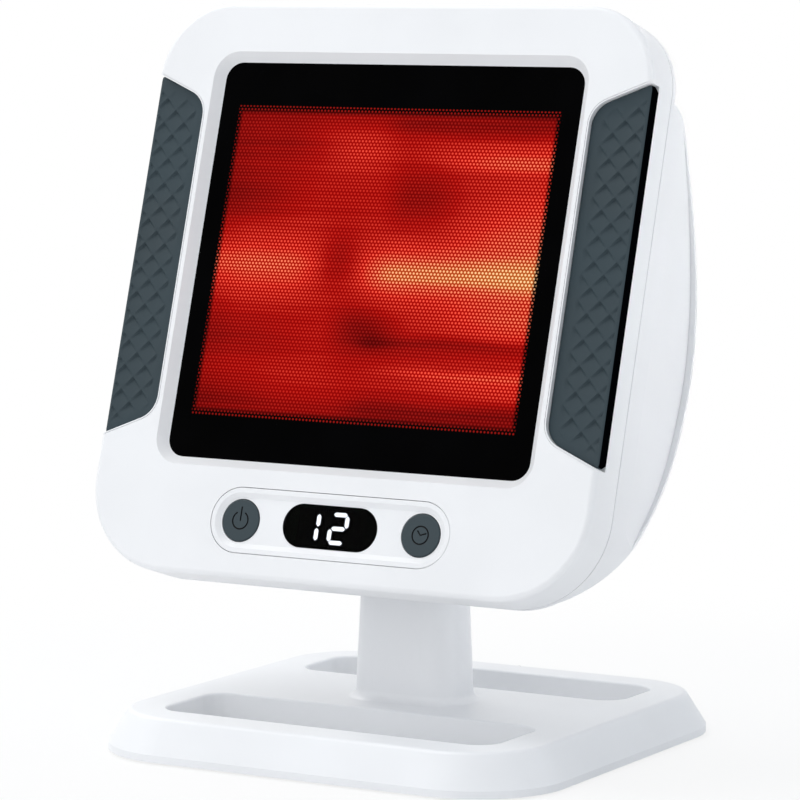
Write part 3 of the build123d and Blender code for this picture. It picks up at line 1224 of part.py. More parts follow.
with BuildPart() as tact_switches:
    with BuildSketch(HEAD.offset(BOARD_OUT)):
        with Locations(*BUTTONS_AT):
            Rectangle(SWITCH_SIZE, SWITCH_SIZE)
    extrude(amount=SWITCH_H)
tact_switches.part.label = "tact_switches"

with BuildPart() as board_parts:
    for x, (w, h), tall in ((0, CHIP_SIZE, CHIP_H), (PLUG_SOCKET_X, PLUG_SOCKET_SIZE, PLUG_SOCKET_H)):
        with BuildSketch(HEAD.offset(BOARD_BACK)):
            with Locations((x, PANEL_UP)):
                Rectangle(w, h)
        extrude(amount=-tall)
board_parts.part.label = "board_parts"

BUTTON_TOP = DISH_FLOOR + BUTTON_PROUD
STEM_END = SWITCH_TOP + BUTTON_TRAVEL + FIT_GAP
button_bodies = []
for x, up in BUTTONS_AT:
    with BuildPart(mode=Mode.PRIVATE) as one_button:
        with BuildSketch(HEAD.offset(BUTTON_SHELF)):
            with Locations((x, up)):
                Circle(BUTTON_DIA / 2)
        extrude(amount=BUTTON_TOP - BUTTON_SHELF)
        fillet(one_button.faces().sort_by(Axis(HEAD.origin, HEAD.z_dir))[-1].edges(), BUTTON_EDGE_R)
        with BuildSketch(HEAD.offset(BUTTON_SHELF)):
            with Locations((x, up)):
                Circle(BUTTON_DIA / 2 + BUTTON_FLANGE)
        extrude(amount=-BUTTON_FLANGE_T)
        with BuildSketch(HEAD.offset(BUTTON_BACK)):
            with Locations((x, up)):
                Circle(BUTTON_STEM_DIA / 2)
        extrude(amount=STEM_END - BUTTON_BACK)
    button_bodies.append(one_button.part)
with BuildPart() as timer_button:
    add(button_bodies[0])
timer_button.part.label = "timer_button"
with BuildPart() as power_button:
    add(button_bodies[1])
power_button.part.label = "power_button"

# ================================================================== export
export_step(stand_shell.part, "parts/stand_shell.step")
export_step(neck_post.part, "parts/neck_post.step")
export_step(base_plate.part, "parts/base_plate.step")
export_step(base_feet.part, "parts/base_feet.step")
export_step(base_screws.part, "parts/base_screws.step")
export_step(cord_inlet.part, "parts/cord_inlet.step")
export_step(hinge_bush.part, "parts/hinge_bush.step")
export_step(front_cover.part, "parts/front_cover.step")
export_step(rear_shell.part, "parts/rear_shell.step")
export_step(head_screws.part, "parts/head_screws.step")
export_step(right_grip.part, "parts/right_grip.step")
export_step(left_grip.part, "parts/left_grip.step")
export_step(glass_panel.part, "parts/glass_panel.step")
export_step(glass_seal.part, "parts/glass_seal.step")
export_step(glass_clamp.part, "parts/glass_clamp.step")
export_step(lamp_housing.part, "parts/lamp_housing.step")
export_step(clamp_screws.part, "parts/clamp_screws.step")
export_step(reflector.part, "parts/reflector.step")
export_step(quartz_tube.part, "parts/quartz_tube.step")
export_step(filament.part, "parts/filament.step")
export_step(tube_caps.part, "parts/tube_caps.step")
export_step(tube_sockets.part, "parts/tube_sockets.step")
export_step(thermal_cutout.part, "parts/thermal_cutout.step")
export_step(chassis_plate.part, "parts/chassis_plate.step")
export_step(chassis_screws.part, "parts/chassis_screws.step")
export_step(hinge_bracket.part, "parts/hinge_bracket.step")
export_step(hinge_pin.part, "parts/hinge_pin.step")
export_step(friction_collars.part, "parts/friction_collars.step")
export_step(disc_springs.part, "parts/disc_springs.step")
export_step(hinge_nut.part, "parts/hinge_nut.step")
export_step(fan_frame.part, "parts/fan_frame.step")
export_step(fan_rotor.part, "parts/fan_rotor.step")
export_step(fan_screws.part, "parts/fan_screws.step")
export_step(board_standoffs.part, "parts/board_standoffs.step")
export_step(mains_board.part, "parts/mains_board.step")
export_step(board_screws.part, "parts/board_screws.step")
export_step(mains_parts.part, "parts/mains_parts.step")
export_step(control_panel.part, "parts/control_panel.step")
export_step(display_window.part, "parts/display_window.step")
export_step(display_module.part, "parts/display_module.step")
export_step(display_segments.part, "parts/display_segments.step")
export_step(control_board.part, "parts/control_board.step")
export_step(control_screws.part, "parts/control_screws.step")
export_step(tact_switches.part, "parts/tact_switches.step")
export_step(board_parts.part, "parts/board_parts.step")
export_step(timer_button.part, "parts/timer_button.step")
export_step(power_button.part, "parts/power_button.step")
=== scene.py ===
import json
import logging
import math
from dataclasses import asdict, dataclass, field
from enum import Enum
from functools import reduce
from typing import Sequence

import bmesh
import bpy
from mathutils import Matrix, Vector

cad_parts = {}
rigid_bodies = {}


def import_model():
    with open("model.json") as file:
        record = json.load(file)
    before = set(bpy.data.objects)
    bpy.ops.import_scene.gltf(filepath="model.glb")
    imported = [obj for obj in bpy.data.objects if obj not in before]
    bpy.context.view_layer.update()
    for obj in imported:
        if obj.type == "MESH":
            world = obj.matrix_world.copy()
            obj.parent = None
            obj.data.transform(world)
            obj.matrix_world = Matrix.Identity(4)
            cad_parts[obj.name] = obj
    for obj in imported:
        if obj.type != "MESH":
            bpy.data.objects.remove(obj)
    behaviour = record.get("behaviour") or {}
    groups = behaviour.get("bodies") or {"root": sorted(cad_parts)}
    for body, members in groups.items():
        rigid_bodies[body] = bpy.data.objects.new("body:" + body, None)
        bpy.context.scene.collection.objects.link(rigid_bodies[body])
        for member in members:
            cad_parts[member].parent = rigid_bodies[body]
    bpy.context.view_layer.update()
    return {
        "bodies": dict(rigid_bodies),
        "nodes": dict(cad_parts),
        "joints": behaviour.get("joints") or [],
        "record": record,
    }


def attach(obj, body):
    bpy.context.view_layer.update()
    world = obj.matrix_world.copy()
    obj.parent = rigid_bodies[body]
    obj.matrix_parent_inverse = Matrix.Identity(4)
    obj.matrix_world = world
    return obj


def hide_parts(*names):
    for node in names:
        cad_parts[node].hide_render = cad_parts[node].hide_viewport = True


LOG = logging.getLogger("heat_lamp")
MM = 0.001
MIX_COLOUR_SLOTS = (0, 6, 7)
MIX_COLOUR_RESULT = 2

Colour = tuple[float, float, float]
Point = tuple[float, float]
Place = tuple[float, float, float]
Stops = tuple[tuple[float, Colour], ...]
Mesh = bmesh.types.BMesh
Vert = bmesh.types.BMVert
Material = bpy.types.Material
Node = bpy.types.Node
Outputs = bpy.types.NodeOutputs
Piece = bpy.types.Object
Socket = bpy.types.NodeSocket
Tree = bpy.types.NodeTree


# ---------------------------------------------------------------- places
@dataclass(frozen=True)
class HeadFrame:
    """The lamp head's own directions: across, up the glass, and out of the glass, in mm."""

    tilt_deg: float = 16.67
    pivot_y: float = 2.5
    pivot_z: float = 125.8
    pivot_up: float = -49.3
    pivot_out: float = -50.2

    @property
    def cosine(self) -> float:
        """Cosine of the rest tilt."""
        return math.cos(math.radians(self.tilt_deg))

    @property
    def sine(self) -> float:
        """Sine of the rest tilt."""
        return math.sin(math.radians(self.tilt_deg))

    @property
    def middle_y(self) -> float:
        """Depth of the middle of the glass front."""
        return self.pivot_y - self.sine * self.pivot_up + self.cosine * self.pivot_out

    @property
    def middle_z(self) -> float:
        """Height of the middle of the glass front."""
        return self.pivot_z - self.cosine * self.pivot_up - self.sine * self.pivot_out

    def point(self, across: float, up: float, out: float) -> Vector:
        """Place of a point on the head.

        Args:
            across: Distance to the right of the middle of the glass.
            up: Distance up the glass.
            out: Distance in front of the glass.

        Returns:
            The point in the shared frame, in metres.
        """
        return Vector((
            across,
            self.middle_y + self.sine * up - self.cosine * out,
            self.middle_z + self.cosine * up + self.sine * out,
        )) * MM


HEAD = HeadFrame()


# ---------------------------------------------------------------- shader wiring
class Wiring:
    """Adds and joins the shader nodes of one tree."""

    def __init__(self, tree: Tree) -> None:
        """Keep the tree that the nodes go into."""
        self.tree = tree

    def add(self, kind: str, **settings: object) -> Node:
        """Add one node.

        Args:
            kind: Blender's name of the node type.
            settings: Attributes to set on the node.

        Returns:
            The new node.
        """
        node = self.tree.nodes.new(kind)
        for name, value in settings.items():
            setattr(node, name, value)
        return node

    def feed(self, source: object, target: Socket) -> None:
        """Join a socket to a target, or write a plain value on it.

        Args:
            source: A socket, a number or a tuple.
            target: The input socket.
        """
        if isinstance(source, Socket):
            self.tree.links.new(source, target)
        else:
            target.default_value = source

    def fill(self, node: Node, **inputs: object) -> Outputs:
        """Feed the inputs of a node by name.

        Args:
            node: The node.
            inputs: Sockets or plain values by input name, with _ for each space.

        Returns:
            The node's outputs.
        """
        for name, source in inputs.items():
            self.feed(source, node.inputs[name.replace("_", " ")])
        return node.outputs

    def calc(self, operation: str, *values: object, clamp: bool = False) -> Socket:
        """Do one step of arithmetic.

        Args:
            operation: Blender's name of the Math operation.
            values: Sockets or numbers, in the order of the inputs.
            clamp: Whether the result is held between 0 and 1.

        Returns:
            The result.
        """
        node = self.add("ShaderNodeMath", operation=operation, use_clamp=clamp)
        for socket, value in zip(node.inputs, values):
            self.feed(value, socket)
        return node.outputs[0]

    def product(self, *values: object) -> Socket:
        """Multiply all the values."""
        return reduce(lambda one, two: self.calc("MULTIPLY", one, two), values)

    def ramp(self, value: Socket, low: object, high: object, to_low: float = 0.0,
             to_high: float = 1.0, smooth: bool = True) -> Socket:
        """Map a value from one range to another, held at both ends.

        Args:
            value: The value to map.
            low: Value that gives to_low.
            high: Value that gives to_high.
            to_low: Result at the low end.
            to_high: Result at the high end.
            smooth: Whether the change eases in and out.

        Returns:
            The mapped value.
        """
        node = self.add("ShaderNodeMapRange", clamp=True,
                        interpolation_type="SMOOTHSTEP" if smooth else "LINEAR")
        return self.fill(node, Value=value, From_Min=low, From_Max=high, To_Min=to_low,
                         To_Max=to_high)["Result"]

    def noise(self, place: Socket, scale: object, detail: float = 2.0,
              roughness: float = 0.5) -> Socket:
        """Add soft noise.

        Args:
            place: The position.
            scale: Noise scale, per metre of position.
            detail: Octaves.
            roughness: Weight of the finer octaves.

        Returns:
            The noise, about 0 to 1.
        """
        node = self.add("ShaderNodeTexNoise", noise_dimensions="3D")
        return self.fill(node, Vector=place, Scale=scale, Detail=detail, Roughness=roughness)["Fac"]

    def blend(self, share: Socket, first: object, second: object) -> Socket:
        """Blend two colours.

        Args:
            share: Share of the second colour.
            first: First colour, a socket or a tuple of three.
            second: Second colour, a socket or a tuple of three.

        Returns:
            The blended colour.
        """
        node = self.add("ShaderNodeMix", data_type="RGBA", clamp_factor=True)
        for slot, given in zip(MIX_COLOUR_SLOTS, (share, first, second)):
            self.feed((*given, 1.0) if isinstance(given, tuple) else given, node.inputs[slot])
        return node.outputs[MIX_COLOUR_RESULT]

    def look_up(self, value: Socket, stops: Stops) -> Socket:
        """Look a value up on a scale of colours.

        Args:
            value: The value, 0 to 1.
            stops: Places on the scale and their colours.

        Returns:
            The colour.
        """
        node = self.add("ShaderNodeValToRGB")
        elements = node.color_ramp.elements
        while len(elements) < len(stops):
            elements.new(0.5)
        for element, (place, colour) in zip(elements, stops):
            element.position, element.color = place, (*colour, 1.0)
        return self.fill(node, Fac=value)["Color"]

    def relief(self, height: Socket, depth: float) -> Socket:
        """Turn a height of about 0 to 1 into a surface normal, with its depth in metres."""
        return self.fill(self.add("ShaderNodeBump"), Strength=1.0, Distance=depth,
                         Height=height)["Normal"]

    def position(self) -> Socket:
        """Give the position on the object."""
        return self.add("ShaderNodeTexCoord").outputs["Object"]

    def parts(self, vector: Socket) -> Outputs:
        """Split a position or direction into X, Y and Z."""
        return self.fill(self.add("ShaderNodeSeparateXYZ"), Vector=vector)

    def flat(self, across: Socket, up: Socket) -> Socket:
        """Join two values to a position in a plane."""
        return self.fill(self.add("ShaderNodeCombineXYZ"), X=across, Y=up)["Vector"]

    def stretched(self, place: Socket, scale: Place, turn: Place = (0.0, 0.0, 0.0)) -> Socket:
        """Turn and stretch a position."""
        return self.fill(self.add("ShaderNodeMapping"), Vector=place, Rotation=turn,
                         Scale=scale)["Vector"]

    def surround(self) -> Socket:
        """Tell the rays that show the surround, straight, in gloss or through glass.

        Returns:
            1 for such a ray and 0 for any other.
        """
        seen = self.add("ShaderNodeLightPath").outputs
        return self.calc("MAXIMUM", seen["Is Camera Ray"], self.calc(
            "MAXIMUM", seen["Is Glossy Ray"], seen["Is Transmission Ray"]))


# ---------------------------------------------------------------- shared effects
class Effect(Enum):
    """The shader node groups that the finishes share, by the library's method that builds each."""

    GRAIN = "moulding_grain"
    BRUSH = "drawn_lines"
    DUST = "settled_dust"
    RUBS = "handling_rubs"
    FACE_PLACE = "face_place"
    # one bar of painted light or painted shade on the window's glow
    WARM_BAR = "warm_bar"
    DOTS = "dot_lattice"


class Group(Wiring):
    """The shader tree of one shared effect."""

    def __init__(self, effect: Effect, outputs: Sequence[str], **inputs: float) -> None:
        """Open the group with its sockets.

        Args:
            effect: The effect that names the group.
            outputs: Names of the number outputs.
            inputs: Default value of each number input, with _ for each space.
        """
        super().__init__(bpy.data.node_groups.new(effect.value, "ShaderNodeTree"))
        sockets = self.tree.interface
        for name, value in inputs.items():
            sockets.new_socket(name.replace("_", " "), in_out="INPUT",
                               socket_type="NodeSocketFloat").default_value = value
        for name in outputs:
            sockets.new_socket(name, in_out="OUTPUT", socket_type="NodeSocketFloat")
        self.given = self.add("NodeGroupInput").outputs
        self.result = self.add("NodeGroupOutput")

    def close(self, **outputs: Socket) -> Tree:
        """Feed the group's outputs by name and hand the group over."""
        self.fill(self.result, **outputs)
        return self.tree


@dataclass
class EffectLibrary:
    """Builds each shared shader node group once and hands it out."""

    slow_share: float = 0.35
    line_stretch: Place = (0.02, 1.0, 1.0)
    dust_patch: float = 90.0
    hair_turn: Place = (0.4, 0.3, 0.7)
    hair_stretch: Place = (1.0, 0.22, 1.0)
    hair_fineness: float = 1400.0
    hair_share: float = 0.5
    built: dict[Effect, Tree] = field(default_factory=dict)

    def group(self, effect: Effect) -> Tree:
        """Find the group of an effect, which is built when it is first asked for.

        Args:
            effect: The effect.

        Returns:
            Its group.
        """
        if effect not in self.built:
            self.built[effect] = getattr(self, effect.value)()
        return self.built[effect]

    def moulding_grain(self) -> Tree:
        """Build the fine spark-eroded grain of a moulding, and the slow unevenness under it.

        Returns:
            The group.
        """
        g = Group(Effect.GRAIN, ("Height", "Tone"), Grain=2500.0, Unevenness=22.0)
        place = g.position()
        fine = g.noise(place, g.given["Grain"], detail=3.0, roughness=0.6)
        slow = g.noise(place, g.given["Unevenness"], detail=2.0, roughness=0.45)
        return g.close(Height=g.calc("MULTIPLY_ADD", slow, self.slow_share, fine),
                       Tone=g.ramp(slow, low=0.3, high=0.7))

    def drawn_lines(self) -> Tree:
        """Build the long fine lines of rolled or brushed metal, with faint cloudy staining.

        Returns:
            The group.
        """
        g = Group(Effect.BRUSH, ("Height", "Tone"), Lines=900.0, Cloud=60.0)
        place = g.position()
        lines = g.noise(g.stretched(place, self.line_stretch), g.given["Lines"], detail=3.0,
                        roughness=0.6)
        cloud = g.noise(place, g.given["Cloud"], detail=3.0, roughness=0.55)
        return g.close(Height=lines, Tone=g.ramp(cloud, low=0.3, high=0.75))

    def settled_dust(self) -> Tree:
        """Build the thin dust on surfaces that face upward, thicker in patches.

        Returns:
            The group.
        """
        g = Group(Effect.DUST, ("Dust",), Amount=0.1)
        here = g.add("ShaderNodeTexCoord").outputs
        level = g.ramp(g.parts(here["Normal"])["Z"], low=0.35, high=0.98)
        cloud = g.noise(here["Object"], self.dust_patch, detail=4.0, roughness=0.6)
        return g.close(Dust=g.product(level, g.ramp(cloud, low=0.35, high=0.7), g.given["Amount"]))

    def handling_rubs(self) -> Tree:
        """Build the faint rubbed patches and hair lines left by hands and cloths.

        Returns:
            The group.
        """
        g = Group(Effect.RUBS, ("Rub",), Amount=0.2, Size=35.0)
        place = g.position()
        strands = g.noise(g.stretched(place, self.hair_stretch, self.hair_turn),
                          self.hair_fineness, roughness=0.7)
        hair = g.ramp(strands, low=0.62, high=0.74)
        patch = g.ramp(g.noise(place, g.given["Size"], detail=3.0), low=0.45, high=0.75)
        lines = g.calc("MULTIPLY_ADD", hair, self.hair_share, 1.0 - self.hair_share)
        return g.close(Rub=g.product(lines, patch, g.given["Amount"]))

    def face_place(self) -> Tree:
        """Build the place on the face of the head, in millimetres across and up the glass.

        Returns:
            The group.
        """
        g = Group(Effect.FACE_PLACE, ("Across", "Up"))
        axes = g.parts(g.position())
        along = g.calc("MULTIPLY_ADD", axes["Y"], HEAD.sine / MM,
                       -HEAD.sine * HEAD.middle_y - HEAD.cosine * HEAD.middle_z)
        return g.close(Across=g.product(axes["X"], 1.0 / MM),
                       Up=g.calc("MULTIPLY_ADD", axes["Z"], HEAD.cosine / MM, along))

    def warm_bar(self) -> Tree:
        """Build one soft bar of painted glow that eases off at both ends, above and below.

        Returns:
            The group.
        """
        g = Group(Effect.WARM_BAR, ("Glow",), Across=0.0, Up=0.0, Left=-10.0, Right=10.0,
                  Left_Fade=5.0, Right_Fade=5.0, Height=0.0, Spread=5.0, Strength=1.0)

        def share(longer: str, shorter: str, unit: str) -> Socket:
            """Measure the step from one input to another by a third."""
            step = g.calc("SUBTRACT", g.given[longer], g.given[shorter])
            return g.calc("DIVIDE", step, g.given[unit])

        lift = share("Up", "Height", "Spread")
        return g.close(Glow=g.product(
            g.ramp(share("Across", "Left", "Left Fade"), 0.0, 1.0),
            g.ramp(share("Right", "Across", "Right Fade"), 0.0, 1.0),
            g.calc("EXPONENT", g.product(lift, lift, -1.0)), g.given["Strength"]))

    def dot_lattice(self) -> Tree:
        """Build staggered rows of small round dots.

        Returns:
            The group.
        """
        g = Group(Effect.DOTS, ("Dot",), Across=0.0, Up=0.0, Pitch=1.5, Row=1.3, Core=0.26,
                  Edge=0.58)
        double_row = g.product(g.given["Row"], 2.0)

        def nearest(shift: float) -> Socket:
            """Distance to the nearest dot of every other row, from half a pitch per shift.

            Args:
                shift: Half pitches that the rows are moved by.

            Returns:
                The distance.
            """
            legs = []
            for value, pitch in ((g.given["Across"], g.given["Pitch"]),
                                 (g.given["Up"], double_row)):
                turns = g.calc("ADD", g.calc("DIVIDE", value, pitch), 0.5 * shift + 0.5)
                leg = g.product(g.calc("SUBTRACT", g.calc("FRACT", turns), 0.5), pitch)
                legs.append(g.product(leg, leg))
            return g.calc("SQRT", g.calc("ADD", *legs))

        closest = g.calc("MINIMUM", nearest(0.0), nearest(1.0))
        return g.close(Dot=g.ramp(closest, g.given["Core"], g.given["Edge"], 1.0, 0.0))


# ---------------------------------------------------------------- finishes
class Surface(Wiring):
    """The shader tree of one material, with its Principled shader."""

    def __init__(self, name: str, effects: EffectLibrary | None = None, **shader: float) -> None:
        """Start the material.

        Args:
            name: Name of the finish.
            effects: The shared effects, where it uses them.
            shader: Plain values of the shader's inputs, with _ for each space.
        """
        self.material = bpy.data.materials.new(name)
        self.material.use_nodes = True
        super().__init__(self.material.node_tree)
        self.tree.nodes.clear()
        self.effects = effects
        self.shading = self.add("ShaderNodeBsdfPrincipled")
        self.output = self.add("ShaderNodeOutputMaterial")
        self.fill(self.output, Surface=self.shading.outputs["BSDF"])
        self.show(**shader)

    def show(self, **inputs: object) -> Material:
        """Feed the shader's inputs by name and hand the material over."""
        self.fill(self.shading, **inputs)
        return self.material

    def effect(self, effect: Effect, **values: object) -> Outputs:
        """Place a shared effect with its inputs by name, and give its outputs."""
        node = self.add("ShaderNodeGroup", node_tree=self.effects.group(effect))
        return self.fill(node, **values)


def darker(colour: Colour, share: float) -> Colour:
    """Multiply a colour by a share."""
    return tuple(part * share for part in colour)


@dataclass(frozen=True)
class MouldedFinish:
    """A moulded plastic or rubber surface."""

    name: str
    colour: Colour
    roughness: float = 0.4
    swing: float = 0.05
    grain: float = 2500.0
    depth: float = 0.000006
    shade: float = 0.97
    specular: float = 0.5
    dust: float = 0.05
    dust_colour: Colour = (0.55, 0.53, 0.5)
    rubs: float = 0.15
    polish: float = 0.12

    def material(self, effects: EffectLibrary) -> Material:
        """Build the material.

        Args:
            effects: The shared effects.

        Returns:
            The finished material.
        """
        s = Surface(self.name, effects, Specular_IOR_Level=self.specular)
        grain = s.effect(Effect.GRAIN, Grain=self.grain)
        dust = s.effect(Effect.DUST, Amount=self.dust)["Dust"]
        rub = s.effect(Effect.RUBS, Amount=self.rubs)["Rub"]
        body = s.blend(grain["Tone"], darker(self.colour, self.shade), self.colour)
        base = s.ramp(grain["Tone"], 0.0, 1.0, self.roughness - self.swing,
                      self.roughness + self.swing)
        worn = s.calc("MULTIPLY_ADD", rub, -self.polish, base)
        return s.show(Base_Color=s.blend(dust, body, self.dust_colour),
                      Roughness=s.calc("ADD", worn, dust, clamp=True),
                      Normal=s.relief(grain["Height"], self.depth))


@dataclass(frozen=True)
class MetalFinish:
    """Plated, rolled or polished sheet metal."""

    name: str
    colour: Colour
    stain: Colour
    roughness: float = 0.35
    swing: float = 0.08
    lines: float = 900.0
    depth: float = 0.000004
    dust: float = 0.12
    dust_colour: Colour = (0.4, 0.38, 0.35)

    def material(self, effects: EffectLibrary) -> Material:
        """Build the material.

        Args:
            effects: The shared effects.

        Returns:
            The finished material.
        """
        s = Surface(self.name, effects, Metallic=1.0)
        lines = s.effect(Effect.BRUSH, Lines=self.lines)
        dust = s.effect(Effect.DUST, Amount=self.dust)["Dust"]
        body = s.blend(lines["Tone"], self.stain, self.colour)
        return s.show(Base_Color=s.blend(dust, body, self.dust_colour),
                      Roughness=s.ramp(lines["Height"], low=0.25, high=0.75,
                                       to_low=self.roughness - self.swing,
                                       to_high=self.roughness + self.swing),
                      Normal=s.relief(lines["Height"], self.depth))


@dataclass(frozen=True)
class ClearFinish:
    """Tinted quartz or a dark display lens that lets light through."""

    name: str
    tint: Colour
    shade: Colour
    roughness: float = 0.04
    ior: float = 1.46
    specular: float = 0.5
    grain: float = 900.0
    unevenness: float = 60.0
    depth: float = 0.0000003
    rubs: float = 0.2
    wear: float = 0.05

    def material(self, effects: EffectLibrary) -> Material:
        """Build the material.

        Args:
            effects: The shared effects.

        Returns:
            The finished material.
        """
        s = Surface(self.name, effects, Transmission_Weight=1.0, IOR=self.ior,
                    Specular_IOR_Level=self.specular)
        grain = s.effect(Effect.GRAIN, Grain=self.grain, Unevenness=self.unevenness)
        rub = s.effect(Effect.RUBS, Amount=self.rubs)["Rub"]
        return s.show(Base_Color=s.blend(grain["Tone"], self.shade, self.tint),
                      Roughness=s.calc("MULTIPLY_ADD", rub, self.wear, self.roughness),
                      Normal=s.relief(grain["Height"], self.depth))


@dataclass(frozen=True)
class HotFinish:
    """A part that shines by itself, such as the filament or the digits."""

    name: str
    body: Colour
    bright: Colour
    dim: Colour
    strength: float
    roughness: float = 0.5
    shade: float = 0.85
    speckle: float = 900.0
    unevenness: float = 150.0
    depth: float = 0.000004

    def material(self, effects: EffectLibrary) -> Material:
        """Build the material.

        Args:
            effects: The shared effects.

        Returns:
            The finished material.
        """
        s = Surface(self.name, effects, Roughness=self.roughness, Emission_Strength=self.strength)
        grain = s.effect(Effect.GRAIN, Grain=self.speckle, Unevenness=self.unevenness)
        tone = grain["Tone"]
        return s.show(Base_Color=s.blend(tone, darker(self.body, self.shade), self.body),
                      Emission_Color=s.blend(tone, self.dim, self.bright),
                      Normal=s.relief(grain["Height"], self.depth))


@dataclass(frozen=True)
class BoardFinish:
    """Green solder mask over copper tracks."""

    name: str = "solder_mask"
    mask: Colour = (0.012, 0.1, 0.035)
    track: Colour = (0.03, 0.19, 0.06)
    depth: float = 0.00003

    def material(self, effects: EffectLibrary) -> Material:
        """Build the material.

        Args:
            effects: The shared effects.

        Returns:
            The finished material.
        """
        s = Surface(self.name, effects, Roughness=0.35, Coat_Weight=0.3)
        face = s.effect(Effect.FACE_PLACE)
        cells = s.add("ShaderNodeTexBrick", offset=0.5, squash=1.0)
        track = s.fill(cells, Vector=s.flat(face["Across"], face["Up"]), Scale=0.35,
                       Mortar_Size=0.035, Brick_Width=1.3, Row_Height=0.5)["Fac"]
        return s.show(Base_Color=s.blend(track, self.mask, self.track),
                      Normal=s.relief(track, self.depth))


@dataclass(frozen=True)
class GlowBar:
    """A soft level bar of painted light on the window's glow, in mm; a negative strength is painted
    shade.
    """

    left: float
    right: float
    left_fade: float
    right_fade: float
    height: float
    spread: float
    strength: float


class GlowBand(Enum):
    """The bars of painted light and painted shade that stand for the heater's light seen through
    the window.
    """

    RIGHT_CORE = GlowBar(-10.0, 90.0, 18.0, 1.0, -3.0, 5.4, 0.19)
    RIGHT_HALO = GlowBar(-20.0, 90.0, 34.0, 1.0, -3.0, 14.0, 0.19)
    RIGHT_FLARE = GlowBar(16.0, 90.0, 56.0, 1.0, 2.0, 12.0, 0.13)
    LEFT_CORE = GlowBar(-90.0, -18.0, 8.0, 20.0, -2.0, 6.5, 0.10)
    LEFT_HALO = GlowBar(-90.0, -12.0, 1.0, 28.0, -1.0, 14.5, 0.14)
    UPPER_LINE = GlowBar(6.0, 90.0, 60.0, 1.0, 40.4, 3.0, 0.14)
    UPPER_WASH = GlowBar(-6.0, 90.0, 60.0, 1.0, 44.5, 6.5, 0.10)
    LOWER_LINE = GlowBar(-6.0, 90.0, 44.0, 1.0, -40.6, 2.6, 0.13)
    LOWER_WARM = GlowBar(0.0, 90.0, 60.0, 1.0, -46.0, 5.0, 0.09)
    LEFT_LOWER = GlowBar(-60.0, 0.0, 26.0, 24.0, -44.0, 7.0, 0.02)
    UPPER_WARM = GlowBar(-34.0, 10.0, 22.0, 20.0, 43.5, 8.0, 0.08)
    RIGHT_UPPER = GlowBar(22.0, 90.0, 50.0, 1.0, 20.0, 14.0, 0.14)
    RIGHT_LOWER = GlowBar(16.0, 90.0, 56.0, 1.0, -20.0, 8.0, 0.16)
    # negative strengths: painted shade in the glow
    TOP_SHADE = GlowBar(-8.0, 90.0, 16.0, 1.0, 54.5, 4.6, -0.10)
    TOP_EDGE = GlowBar(-90.0, 90.0, 1.0, 1.0, 58.0, 6.0, -0.06)
    BOTTOM_SHADE = GlowBar(-12.0, 90.0, 20.0, 1.0, -55.5, 4.8, -0.09)
    BOTTOM_EDGE = GlowBar(-90.0, 90.0, 1.0, 1.0, -58.0, 7.0, -0.09)
    RIGHT_SHADE = GlowBar(-6.0, 90.0, 12.0, 1.0, -30.0, 3.2, -0.11)
    RIGHT_BLOB = GlowBar(-20.0, 22.0, 18.0, 22.0, -25.5, 9.0, -0.17)
    UPPER_BLOB = GlowBar(-3.0, 39.0, 16.0, 22.0, 26.0, 11.0, -0.12)
    LEFT_SHADE = GlowBar(-90.0, -26.0, 12.0, 34.0, 26.0, 12.0, -0.12)
    LEFT_TOP_SHADE = GlowBar(-90.0, -24.0, 20.0, 24.0, 48.0, 10.0, -0.09)
    LEFT_DEEP = GlowBar(-90.0, -14.0, 6.0, 50.0, -29.0, 10.0, -0.09)
    LEFT_FLOOR = GlowBar(-90.0, -28.0, 6.0, 30.0, -53.0, 8.0, -0.07)
    GAP_SHADE = GlowBar(-28.0, -2.0, 14.0, 14.0, 2.0, 9.0, -0.07)
    LEFT_EDGE = GlowBar(-90.0, -54.0, 1.0, 16.0, 0.0, 90.0, -0.05)


